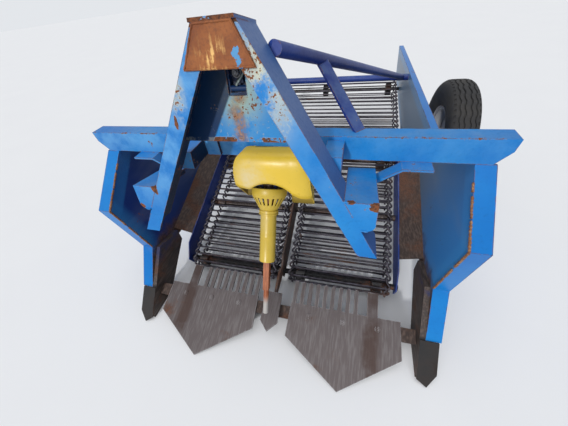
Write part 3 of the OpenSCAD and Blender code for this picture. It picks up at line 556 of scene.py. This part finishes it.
# %% Plastic, rubber and wheels
def plastic(name, clean, dust_and_shade_tone, dust_and_shade_at, reach):
    f = Finish(name)
    cloud, grain, fine = f.noise(7, 5), f.noise(70, 4), f.noise(600, 2)
    colour = f.mix(f.fade(cloud, 0.35, 0.7) * 0.5, clean, tuple(c * 0.82 for c in clean))
    # dust on the hood and guard; in the inside finish this patch is painted shade and dirt
    dust_and_shade = f.near(dust_and_shade_at, reach) * f.fade(cloud + grain * 0.4, 0.5, 0.85)
    colour = f.mix(dust_and_shade * 0.6, colour, dust_and_shade_tone)
    colour = f.mix(f.fade(grain, 0.62, 0.8) * 0.35, colour, tone(96, 80, 40))
    rough = f.fade(dust_and_shade, 0, 1, 0.34, 0.7) + f.fade(grain, 0.4, 0.7, 0, 0.1)
    return f.done(colour, rough, fine * 0.3 + grain * 0.15, 0.0003)


def rubber(name):
    f = Finish(name)
    cloud, grain = f.noise(6, 6), f.noise(180, 4)
    colour = f.mix(f.fade(cloud, 0.4, 0.75), tone(30, 30, 32), tone(58, 56, 54))
    colour = f.mix(f.fade(grain, 0.55, 0.75) * 0.3, colour, tone(96, 90, 84))
    return f.done(colour, f.fade(cloud, 0.3, 0.7, 0.7, 0.92), grain, 0.0005)


YELLOW = plastic("hood_plastic", tone(232, 196, 62), tone(222, 214, 190),
                 at(-40, 440, 780), 0.12)
OLIVE = plastic("guard_plastic", tone(204, 174, 62), tone(206, 190, 140),
                at(-30, 430, 590), 0.09)
# painted shade with oil: a darker olive inside, and a dark brown patch of painted shade and dirt
# at the inner left
HOOD_INSIDE_OIL_AND_SHADE = plastic("hood_inside_oil_and_shade", tone(158, 134, 52), tone(58, 42, 32),
                      at(-115, 490, 690), 0.12)
RUBBER = rubber("tyre_rubber")
WHEEL_PAINT = weathered("wheel_paint", tone(150, 152, 156), tone(172, 172, 172), 0.9,
                        0.005, 0.5)

# %% [markdown]
# ## Which part wears which finish
# A CAD part keeps its mesh and only gets a material, so this is a plain table from
# finish to parts. Anything not listed would show the CAD's own flat colour, so the loop
# stops if a part is missing.

# %% Dress the CAD parts
PAINTED = {
    BLUE: "headstock_leg_left headstock_leg_right headstock_cap headstock_stays "
          "hitch_brackets front_beam chain_case cascade_chain_case",
    LIGHT_BLUE: "headstock_web_plate",
    WEAR_PLATE: "headstock_top_plate",
    NAVY: "back_strut_left back_strut_right strut_posts rear_cross_bar web_rails "
          "drive_tube axle_left axle_right",
    GEARBOX: "gearbox",
    WALL_LEFT_WITH_SHADE: "side_wall_left",
    WALL_RIGHT: "side_wall_right",
    KNIFE_STEEL: "side_knives",
    SHARE_STEEL: "share_left share_right share_centre",
    BROWN_STEEL: "aprons centre_standard share_beam web_divider",
    ROD_STEEL: "main_web_left main_web_right cascade_web",
    BLACK_STEEL: "front_rollers cascade_front_roller cascade_rear_roller",
    DARK_SHAFT: "mid_cross_tube main_drive_shaft shaft_joint",
    PROFILE_STEEL: "shaft_profile",
    YELLOW: "shaft_hood",
    OLIVE: "shaft_guard",
    WHEEL_PAINT: "rim_left rim_right",
    RUBBER: "tyre_left tyre_right",
}
WEARS = {name: material for material, names in PAINTED.items() for name in names.split()}
for name, part in parts.items():
    part.data.materials.clear()
    part.data.materials.append(WEARS[name])
print(len(parts), "parts dressed")

# %% [markdown]
# ## Hooked rod webs
# Each web is an endless chain of bent rods. Both ends of a rod turn forward, lean in a
# little and hook round the next rod, so the web needs no belts or pins. The rods lie
# round two rollers, so we first need the path round them, and then one bent rod that is
# laid along it again and again. A curve with round corners gives the smooth bends that
# the CAD's straight bars only suggest.

# %% The path round two rollers
class Loop:
    def __init__(self, front, rear):
        """front, rear: (behind, height, radius) of a roller."""
        self.front, self.rear = front, rear
        gap = math.dist(front[:2], rear[:2])
        tilt = math.atan2(rear[1] - front[1], rear[0] - front[0])
        cone = math.asin((rear[2] - front[2]) / gap)
        self.up, self.down = tilt + cone + math.pi / 2, tilt - cone - math.pi / 2
        self.run = gap * math.cos(cone)
        self.far = rear[2] * (math.pi + 2 * cone)
        self.length = 2 * self.run + self.far + front[2] * (math.pi - 2 * cone)

    def spot(self, along, out):
        """(behind, height) at a distance along the path, out beyond the rollers."""

        def on(roller, angle):
            way = Vector((math.cos(angle), math.sin(angle)))
            return Vector(roller[:2]) + way * (roller[2] + out)

        along %= self.length
        if along < self.run:
            return on(self.front, self.up).lerp(on(self.rear, self.up), along / self.run)
        along -= self.run
        if along < self.far:
            return on(self.rear, self.up - along / self.rear[2])
        along -= self.far
        if along < self.run:
            return on(self.rear, self.down).lerp(on(self.front, self.down), along / self.run)
        return on(self.front, self.down - (along - self.run) / self.front[2])


MAIN = Loop((505, 88, 38), (1275, 372, 58))
CASCADE = Loop((1425, 205, 38), (2480, 440, 58))
print("main web", round(MAIN.length), "mm, cascade web", round(CASCADE.length), "mm")

# %% [markdown]
# A rod is a path: a hook, a leaning arm and a bend at either end. It is drawn between
# two neighbouring places on the loop, so each hook also reaches the next rod where the
# web turns round a roller. A little random sag keeps the rods from looking stamped.

# %% One bent rod, laid round the path
ROD, SEAT = 5.8, 0.3  # radius of a rod and its way off the rollers, mm
BEND, ARM, EYE = 10, 22, 11  # radius of the bend, inset of the arm, radius of the hook


def hooked_rods(loop, pitch, left, right, seed):
    dice = random.Random(seed)
    count = round(loop.length / pitch)
    step = loop.length / count
    out = ROD * math.cos(math.pi / 6) + SEAT
    paths = []
    for i in range(count):
        here, there = loop.spot((i + 0.5) * step, out), loop.spot((i + 1.5) * step, out)
        forward = (there - here).normalized()
        outward = Vector((-forward.y, forward.x))

        def place(x, ahead, lift):
            spot = here + forward * ahead + outward * lift
            return at(x, spot.x, spot.y)

        def end(x, side):
            """The bend, the leaning arm and the hook at one end, from the rod outwards."""
            reach = (there - here).length
            points = []
            for k in range(5):
                a = math.radians(-90 + 30 * k)
                inset = ROD + BEND - BEND * math.cos(a)
                points.append(place(x - side * inset, BEND + BEND * math.sin(a), 0))
            for k in range(7):
                a = math.radians(150 - 35 * k)
                ahead, lift = reach + EYE * math.cos(a), EYE * math.sin(a)
                points.append(place(x - side * (ARM + k), ahead, lift))
            return points

        sag = dice.uniform(-1.2, 1.2)
        middle = place((left + right) / 2 + dice.uniform(-60, 60), sag, dice.uniform(-0.6, 0.6))
        paths.append(list(reversed(end(left, -1))) + [middle] + end(right, 1))
    return paths


for name, loop, pitch, left, right in (
    ("main_web_right", MAIN, 42, 32, 578),
    ("main_web_left", MAIN, 42, -578, -32),
    ("cascade_web", CASCADE, 58, -672, 672),
):
    rods = bars("hooked_" + name, hooked_rods(loop, pitch, left, right, len(name)), ROD / 1000)
    finish("hooked_" + name, rods, "frame", "web_steel", [ROD_STEEL], 60, [name])

# %% [markdown]
# ## The yellow hood
# A moulded hood is one skin that rises from a U-shaped rim and rolls over to a flat
# crest against the beam. A flat grid can be bent into it: its rows become the levels
# from rim to crest, its columns the way round the U, and the rim's height follows the
# arch that lets the drive shaft out. Behind, the two ends of the U turn in to a back
# wall and leave the hole for the joint. Solidify then gives the skin its wall, with
# the darker plastic on its inside, darker from oil and from painted shade.

# %% Hood skin
HOOD_X, HOOD_HALF = 36, 151  # middle and half width
HOOD_FRONT, BEAM_FACE = 432, 524.5  # behind the share points
HOOD_TOP, RIM_HEIGHT, BACK_DROP = 879, 735, 110
ARCH, ARCH_X, ARCH_FOOT = 110, 30, 664  # radius, middle and foot of the arch
TURN, CORNER, JOINT_HOLE = 0.5, 0.78, 90  # corners of the U, half width of the hole
SKIN = 0.0032


def hood_rim(way):
    """Point of the rim for way from -1, left rear, to 1, right rear."""
    x = max(-1, min(1, way / TURN))
    back = max(0, min(1, (abs(way) - TURN) / (CORNER - TURN)))
    behind = HOOD_FRONT + 15 * abs(x) ** 7 + (BEAM_FACE - HOOD_FRONT - 17) * back
    height = RIM_HEIGHT - BACK_DROP * back - 11 * x
    across = HOOD_X + HOOD_HALF * x
    if abs(way) > CORNER:
        share = (abs(way) - CORNER) / (1 - CORNER)
        across += (math.copysign(JOINT_HOLE, way) - across) * share
    arch = ARCH ** 2 - (across - ARCH_X) ** 2
    if not back and arch > 0:
        height = max(height, ARCH_FOOT + math.sqrt(arch))
    return across, behind, height


skin = bmesh.new()
bmesh.ops.create_grid(skin, x_segments=80, y_segments=22, size=1)
for vert in skin.verts:
    way, level = vert.co.x, (vert.co.y + 1) / 2
    x, behind, low = hood_rim(way)
    rise = math.sin(level * math.pi / 2) ** 0.82
    pull = 1 - math.cos(level * math.pi / 2) ** 0.56
    top_x = HOOD_X + (x - HOOD_X) * 0.5
    top_behind = BEAM_FACE - (BEAM_FACE - behind) * 0.2
    # the lower right corner turns out into a lip
    lip = max(0, 1 - level / 0.1) * math.exp(-((way - 0.42) / 0.12) ** 4)
    vert.co = at(x + (top_x - x) * pull + 8 * lip, behind + (top_behind - behind) * pull - 6 * lip,
                 low + (HOOD_TOP - low) * rise - 10 * lip)
crest = [edge for edge in skin.edges
         if edge.is_boundary and min(vert.co.z for vert in edge.verts) > 0.8785]
bmesh.ops.contextual_create(skin, geom=crest)
bmesh.ops.recalc_face_normals(skin, faces=skin.faces)
hood = finish("moulded_hood", skin, "frame", "yellow_plastic", [YELLOW, HOOD_INSIDE_OIL_AND_SHADE], 50,
              ["shaft_hood"])


def thicken(piece, thickness):
    """Gives a skin its wall, inwards, with the second material on the inside."""
    wall = piece.modifiers.new("wall", "SOLIDIFY")
    wall.thickness, wall.offset, wall.material_offset = thickness, -1, 1


thicken(hood, SKIN)

# %% [markdown]
# ## The shaft's guard
# The guard is turned: a wide bell with a ring of slots, a neck with a collar, and a
# long tube. Spinning a profile makes the skin, and the slots are simply the faces of one
# ring that are taken away, two out of every five. The pieces are made along an axis
# that points down the hanging shaft.

# %% Slotted guard
JOINT, DROOP = at(0, 515, 700), math.radians(57)  # where the shaft hangs, how far down
ALONG = Vector((0, -math.cos(DROOP), -math.sin(DROOP)))
SHAFT = Matrix.Translation(JOINT) @ ALONG.to_track_quat("Z", "Y").to_matrix().to_4x4()
GUARD = (  # radius, distance from the joint
    (73.5, 6), (75, 9), (75, 28), (73, 38), (69.5, 45), (69, 46), (51, 77), (45, 89),
    (39, 97), (37.5, 101), (42, 102.5), (42, 107), (40, 108.5), (40, 113.5), (42, 115),
    (42, 119.5), (38, 121), (34.6, 123), (34.6, 210), (35.2, 212), (35.2, 218),
    (34.6, 220), (34.6, 320), (35.2, 322), (35.2, 329.5), (30, 329.5),
)


def turned(profile, steps):
    """Spins (radius, height) in millimetres round Z into a bmesh."""
    made = bmesh.new()
    verts = [made.verts.new((r / 1000, 0, h / 1000)) for r, h in profile]
    edges = [made.edges.new(pair) for pair in zip(verts, verts[1:])]
    bmesh.ops.spin(made, geom=verts + edges, cent=(0, 0, 0), axis=(0, 0, 1),
                   angle=2 * math.pi, steps=steps, use_merge=True)
    bmesh.ops.remove_doubles(made, verts=made.verts, dist=1e-6)
    bmesh.ops.recalc_face_normals(made, faces=made.faces)
    return made


def sector(point, width):
    """The way round Z of a point, counted in sectors of some degrees."""
    return math.degrees(math.atan2(point.y, point.x)) % 360 / width


guard = turned(GUARD, 100)
slots = []
for face in guard.faces:
    middle = face.calc_center_median()
    if 0.05 < middle.z < 0.07 and int(sector(middle, 3.6)) % 5 < 2:
        slots.append(face)
bmesh.ops.delete(guard, geom=slots, context="FACES")
guard.transform(SHAFT)
thicken(finish("slotted_guard", guard, "shaft_guard", "yellow_plastic", [OLIVE, HOOD_INSIDE_OIL_AND_SHADE],
               40, ["shaft_guard"]), 0.003)

# %% [markdown]
# ## Tyres with a ribbed tread
# A tyre is turned too. An implement tyre has ribs that run round it, with grooves that
# zigzag so that it does not slip sideways. The grooves are in the turned profile, and
# every second pair of points round the tread is moved a little sideways. On the
# shoulders, every second face is inset and pushed in, which leaves the short lugs.

# %% Tyres
HALF_TREAD = (  # distance from the tyre's middle, radius
    (0, 367.2), (11, 367.2), (13, 358.5), (20, 358.5), (22, 367), (39, 366.5), (41, 358),
    (47, 358), (49, 365), (61, 360.5), (71, 354), (78, 346), (84, 331), (88, 300),
    (87, 276), (83, 262), (80, 246), (76, 238), (72, 222), (66, 214), (62, 203.5),
)
TREAD = [(r, -z) for z, r in reversed(HALF_TREAD)] + [(r, z) for z, r in HALF_TREAD[1:]]
ZIGZAG = 0.0035
SIDES = ((1, "right"), (-1, "left"))


def hub(side):
    return at(side * 965, 1665, 367.5)


for side, word in SIDES:
    tyre = turned(TREAD, 120)
    lugs = []
    for face in tyre.faces:
        middle = face.calc_center_median()
        shoulder = 0.060 < abs(middle.z) < 0.071 and math.hypot(middle.x, middle.y) > 0.34
        if shoulder and int(sector(middle, 3)) % 2:
            lugs.append(face)
    for vert in tyre.verts:
        if math.hypot(vert.co.x, vert.co.y) > 0.357 and 0.005 < abs(vert.co.z) < 0.05:
            vert.co.z += ZIGZAG if round(sector(vert.co, 3)) // 2 % 2 else -ZIGZAG
    bmesh.ops.inset_individual(tyre, faces=lugs, thickness=0.0018, depth=-0.005)
    tyre.transform(Matrix.Translation(hub(side)) @ Matrix.Rotation(math.pi / 2, 4, "Y"))
    finish("treaded_tyre_" + word, tyre, "wheel_" + word, "tyre_rubber", [RUBBER], 28,
           ["tyre_" + word])

# %% [markdown]
# ## Bolts and nuts
# Every bolted joint shows a washer, a six-sided head and often the end of a thread. One
# small maker turns all of them to face any way, and a list of places does the rest. The
# head's last slice narrows a little, which reads as its chamfer.

# %% Bolt maker
BOLT = (  # sides, then low, high, bottom radius and top radius as shares of the size
    (20, -0.001, 0.18, 1.15, 1.1), (6, 0.18, 0.62, 0.86, 0.86),
    (6, 0.62, 0.74, 0.86, 0.74), (12, 0.74, 1.02, 0.44, 0.4),
)


def facing_way(point, direction):
    """The matrix that stands Z up along a direction at a point."""
    turn = Vector(direction).to_track_quat("Z", "Y").to_matrix().to_4x4()
    return Matrix.Translation(point) @ turn


def bolts(name, body, places, size=0.012):
    """places: (point on the surface, direction that the head faces)."""
    made = bmesh.new()
    dice = random.Random(name)
    for point, direction in places:
        turn = facing_way(point, direction) @ Matrix.Rotation(dice.uniform(0, 1), 4, "Z")
        for sides, low, high, bottom, top in BOLT:
            centre = Matrix.Translation((0, 0, (low + high) / 2 * size))
            bmesh.ops.create_cone(made, cap_ends=True, segments=sides, radius1=bottom * size,
                                  radius2=top * size, depth=(high - low) * size,
                                  matrix=turn @ centre)
    finish(name, made, body, "black_steel", [BOLT_STEEL], 30)


def ring_of(centre, axis, radius, count, start=0.0):
    """Places on a circle round an axis along X."""
    return [(centre + Vector((0, math.cos(a), math.sin(a))) * radius, axis)
            for a in (start + 2 * math.pi * i / count for i in range(count))]


print("bolts can be placed")

# %% [markdown]
# Bolts sit in patterns, in circles round bearings and in rows along flanges, so each
# pattern is a short sum over its places.

# %% Bolts on the frame
OUT = Vector((1, 0, 0))
SEAM = Vector((0, 0.033, 0.047))  # from the chain case's middle line to its edge
for side, word in SIDES:
    way = OUT * side
    spots = ring_of(at(side * 721, 2480, 440), way, 0.031, 4, math.pi / 4)
    spots += [(at(side * 713, 1665 + y, z), way) for y in (-52, 52) for z in (572, 618)]
    spots += [(at(side * 705, 612 + 86 * i, 832 - 14 * i), way) for i in range(2)]
    spots += [(at(side * 700, 250 + 46 * i, 70 + 28 * i) + OUT * side * 0.0002, way)
              for i in range(4)]
    bolts("wall_bolts_" + word, "frame", spots, 0.011)
spots = ring_of(at(750, 1275, 372), OUT, 0.062, 5, 3.6)
spots += ring_of(at(750, 655, 812), OUT, 0.043, 4, 0.2)
spots += [(at(750, 655 + 620 * t, 812 - 440 * t) + SEAM * s, OUT)
          for t in (0.25, 0.5, 0.75) for s in (1, -1)]
bolts("chain_case_bolts", "frame", spots, 0.009)
spots = ring_of(at(-750, 1275, 372), -OUT, 0.057, 4, 0.9)
spots += ring_of(at(-750, 1425, 205), -OUT, 0.047, 4, 2.6)
bolts("cascade_case_bolts", "frame", spots, 0.009)
spots = [(at(x, 605 + y, 852), (0, 0, 1)) for x in (-90, 90) for y in (20, 95, 170)]
spots += [(at(70 * math.cos(a), 795, 735 + 70 * math.sin(a)), (0, 1, 0))
          for a in (0.5 + math.pi / 3 * i for i in range(6))]
bolts("gearbox_bolts", "frame", spots, 0.011)

# %% [markdown]
# ## Castings have covers, plugs and seams
# A gearbox is a casting in two halves. What tells it from a steel box is the flange
# where the halves meet, the cover through which it is filled, the plugs, and the sealed
# ring round its input shaft. Slabs with rounded corners are bevelled cubes; plugs and
# rings are turned.

# %% Gearbox castings
def slab_on(made, centre, size, corner):
    """A block with rounded edges, added to a bmesh."""
    place = Matrix.Translation(centre) @ Matrix.Diagonal((*size, 1))
    block = bmesh.ops.create_cube(made, size=1, matrix=place)["verts"]
    edges = list({edge for vert in block for edge in vert.link_edges})
    bmesh.ops.bevel(made, geom=edges, offset=corner, segments=3, profile=0.5,
                    affect="EDGES", material=-1)


PLUG = [(0, 17), (8, 17), (9.5, 15.5), (9.5, 6), (14, 5.5), (14, -1)]
SCREW = [(0, 9), (9, 9), (10.5, 7.5), (10.5, 1), (14, 0.5), (14, -1)]
SEAL = [(42, 6), (56, 6), (58, 4), (58, -1)]
casting = bmesh.new()
slab_on(casting, at(0, 700, 738), (0.2206, 0.2, 0.016), 0.004)
slab_on(casting, at(0, 700, 855), (0.13, 0.11, 0.012), 0.003)
slab_on(casting, at(0, 796.5, 735), (0.11, 0.006, 0.11), 0.0025)
for profile, point, direction in (
    (PLUG, at(34, 675, 861), (0, 0, 1)),
    (SCREW, at(-62, 795, 650), (0, 1, 0)),
    (SEAL, at(0, 799, 735), (0, 1, 0)),
):
    plug = turned(profile, 24)
    plug.transform(facing_way(point, direction))
    scrap = bpy.data.meshes.new("plug")
    plug.to_mesh(scrap)
    plug.free()
    casting.from_mesh(scrap)
    bpy.data.meshes.remove(scrap)
finish("gearbox_castings", casting, "frame", "dark_blue_paint", [GEARBOX], 30)
spots = [(at(x, 700 + y, 861), (0, 0, 1)) for x in (-55, 55) for y in (-45, 45)]
bolts("cover_bolts", "frame", spots, 0.007)

# %% [markdown]
# ## Ploughing bolts, hubs and weld beads
# Shares are held by bolts with flat round heads that wear with the steel, wheels by a
# ring of nuts round a hub cap, and the headstock's brackets by weld beads. Another bead,
# rusty and broken off in places, runs down the front edge of each wall. They are small,
# but the eye finds them at once when they are missing.

# %% Share bolts, hubs and welds
RAKE = math.radians(18.8)
UP_SHARE = Vector((0, -math.sin(RAKE), math.cos(RAKE)))
HUB_CAP = [(0.05, 58), (18, 57), (27, 52), (30, 44), (30, 33), (49, 32.6), (51.5, 31),
           (51.5, 27)]
heads = bmesh.new()
for x in (-510, -350, -190, 190, 350, 510):
    spot = at(x, 280 * math.cos(RAKE), 280 * math.sin(RAKE)) + UP_SHARE * 0.0108
    turn = facing_way(spot, UP_SHARE)
    for sides, bottom, top, depth in ((24, 0.0135, 0.012, 0.003), (4, 0.006, 0.006, 0.0034)):
        bmesh.ops.create_cone(heads, cap_ends=True, segments=sides, radius1=bottom,
                              radius2=top, depth=depth, matrix=turn)
finish("share_bolt_heads", heads, "frame", "worn_steel", [SHARE_STEEL], 30)

for side, word in SIDES:
    way = OUT * side
    nuts = ring_of(hub(side) + way * 0.0022, way, 0.078, 5)
    bolts("wheel_nuts_" + word, "wheel_" + word, nuts, 0.014)
    cap = turned(HUB_CAP, 40)
    cap.transform(Matrix.Translation(hub(side)) @ Matrix.Rotation(side * math.pi / 2, 4, "Y"))
    finish("hub_cap_" + word, cap, "wheel_" + word, "wheel_paint", [WHEEL_PAINT], 40)

seams, rusty = [], []
STRETCHES = (  # which side of the corner, from and to as shares of it
    (0, 0.0, 0.14), (0, 0.2, 0.52), (0, 0.55, 1.0),
    (1, 0.0, 0.34), (1, 0.4, 0.62), (1, 0.66, 1.0),
)
for side, word in SIDES:
    for start, end, up in ((386, 366, 98), (331, 313, 190)):
        seams.append(bead(lean(side * start, 0, up), lean(side * end, 0, up), len(seams)))
    edge = [at(side * 699.4, *spot) for spot in ((482, 795), (316, 650), (379, 328))]
    for i, (leg, start, end) in enumerate(STRETCHES):
        a, b = edge[leg:leg + 2]
        rusty.append(bead(a.lerp(b, start), a.lerp(b, end), i))
finish("weld_beads", bars("weld_beads", seams, 0.0035), "frame", "blue_paint", [BLUE], 60)
finish("band_welds", bars("band_welds", rusty, 0.0046), "frame", "rusty_steel", [RUST_WELD], 60)

# %% [markdown]
# ## The latch behind the window
# Behind the window in the web plate hangs the latch that holds the tractor's coupler: a
# dark hooked plate between the keeper's cheeks, with a backing plate behind it and a
# bent handle in front. The hook is one outline, extruded and bevelled, so that its edges
# catch a line of light.

# %% Latch and handle
HOOK = ((-30, 600), (14, 600), (14, 512), (6, 500), (8, 486), (-4, 484), (-22, 490),
        (-30, 504))
BACKING = ((-31.5, 600), (15.5, 600), (15.5, 458), (-31.5, 458))
latch = bmesh.new()
face = latch.faces.new([latch.verts.new(lean(x, 113.5, up)) for x, up in HOOK])
grown = bmesh.ops.extrude_face_region(latch, geom=[face])["geom"]
grown = [vert for vert in grown if isinstance(vert, bmesh.types.BMVert)]
bmesh.ops.translate(latch, verts=grown, vec=into(12))
bmesh.ops.bevel(latch, geom=latch.edges[:], offset=0.0015, segments=2, profile=0.5,
                affect="EDGES", material=-1)
bmesh.ops.recalc_face_normals(latch, faces=latch.faces)
plate = [latch.verts.new(lean(x, depth, up)) for depth in (125.8, 129) for x, up in BACKING]
bmesh.ops.convex_hull(latch, input=plate)
finish("coupler_latch", latch, "frame", "dark_blue_paint", [LATCH_PAINT], 30)
bolts("latch_pivot", "frame", [(lean(-9, 113.4, 512), into(-1))], 0.013)
handle = [lean(15 - 34 * math.sin(a) ** 2, 110 - 5 * math.sin(2 * a), 520 - 36 * a)
          for a in (0.16 * i for i in range(8))]
handle = bars("latch_handle", [handle], 0.0034, 3)
finish("latch_handle", handle, "frame", "worn_steel", [HANDLE_STEEL])

# %% [markdown]
# ## The border of the wear plate
# The wear plate is welded on all round. Four beads, one along each of its edges, make
# the raised border that the light picks out.

# %% Border of the wear plate
PLATE = ((-91, 526), (91, 526), (46, 613), (-46, 613))
corners = [lean(x, -8, up) for x, up in PLATE]
border = [bead(corners[i], corners[(i + 1) % 4], i) for i in range(4)]
border = bars("wear_plate_border", border, 0.0026)
finish("wear_plate_border", border, "frame", "rusty_steel", [WEAR_PLATE], 60)

# %% [markdown]
# ## Floor, light and camera
# A plain pale floor and broad soft lamps show the machine as it is. A round floor that
# reaches far out has its edge at the horizon.

# %% Floor
f = Finish("pale_floor")
speck = f.noise(1.5, 3)
f.shader.inputs["Specular IOR Level"].default_value = 0.05
f.done(f.mix(f.fade(speck, 0.3, 0.7) * 0.3, tone(240, 241, 243), tone(236, 237, 240)), 0.9)
ground = bmesh.new()
bmesh.ops.create_circle(ground, cap_ends=True, segments=96, radius=60)
mesh = bpy.data.meshes.new("floor")
ground.to_mesh(mesh)
ground.free()
mesh.materials.append(f.material)
floor = bpy.data.objects.new("floor", mesh)
bpy.context.scene.collection.objects.link(floor)
print("floor laid")

# %% [markdown]
# The room as the camera and a shiny surface see it is brighter than the light that it
# gives, so the backdrop stays pale while the lamps still model the shapes.

# %% Light
ROOM_LIGHT, ROOM_SEEN = 0.36, 0.83
scene = bpy.context.scene
scene.view_settings.view_transform = "Standard"
world = bpy.data.worlds.new("studio")
scene.world = world
world.use_nodes = True
tree = world.node_tree
back = tree.nodes["Background"]
seen = tree.nodes.new("ShaderNodeLightPath")
shown = tree.nodes.new("ShaderNodeMath")
shown.operation = "MAXIMUM"
tree.links.new(seen.outputs["Is Camera Ray"], shown.inputs[0])
tree.links.new(seen.outputs["Is Glossy Ray"], shown.inputs[1])
power = tree.nodes.new("ShaderNodeMapRange")
power.inputs["To Min"].default_value = ROOM_LIGHT
power.inputs["To Max"].default_value = ROOM_SEEN
tree.links.new(shown.outputs[0], power.inputs["Value"])
tree.links.new(power.outputs[0], back.inputs["Strength"])
back.inputs["Color"].default_value = (0.93, 0.96, 1, 1)


def lamp(name, direction, strength, softness):
    light = bpy.data.lights.new(name, "SUN")
    light.energy, light.angle = strength, math.radians(softness)
    holder = bpy.data.objects.new(name, light)
    holder.rotation_euler = Vector(direction).to_track_quat("-Z", "Y").to_euler()
    scene.collection.objects.link(holder)


lamp("key", (0.19, 0.88, -0.43), 1.85, 4)
lamp("fill", (0.0, 0.12, -1), 1.06, 60)

# %% [markdown]
# The camera looks from where the photo was taken: in front, a little right of the
# middle, above the headstock, tipped well down and a little to one side. Its place,
# angles and focal length were solved from points of the machine.

# %% Camera
EYE_AT = Vector((0.321668, -1.788389, 1.321082))
AIM, TIP, ROLL = 0.339419396, 0.751182249, 0.141584070  # radians
FOCAL, PICTURE_WIDTH, SENSOR = 247.892975, 568, 36  # pixels, pixels, mm
forward = Vector((-math.sin(AIM) * math.cos(TIP), math.cos(AIM) * math.cos(TIP),
                  -math.sin(TIP)))
level = Vector((math.cos(AIM), math.sin(AIM), 0))
below = forward.cross(level)
right = math.cos(ROLL) * level + math.sin(ROLL) * below
up = math.sin(ROLL) * level - math.cos(ROLL) * below
eye = bpy.data.cameras.new("photo_view")
eye.sensor_width, eye.lens = SENSOR, SENSOR * FOCAL / PICTURE_WIDTH
eye.clip_start, eye.clip_end = 0.02, 200
camera = bpy.data.objects.new("photo_view", eye)
rows = [(right[i], up[i], -forward[i], EYE_AT[i]) for i in range(3)]
camera.matrix_world = Matrix(rows + [(0, 0, 0, 1)])
scene.collection.objects.link(camera)
scene.camera = camera
print("camera at", tuple(round(v, 3) for v in camera.location), "lens", round(eye.lens, 2))
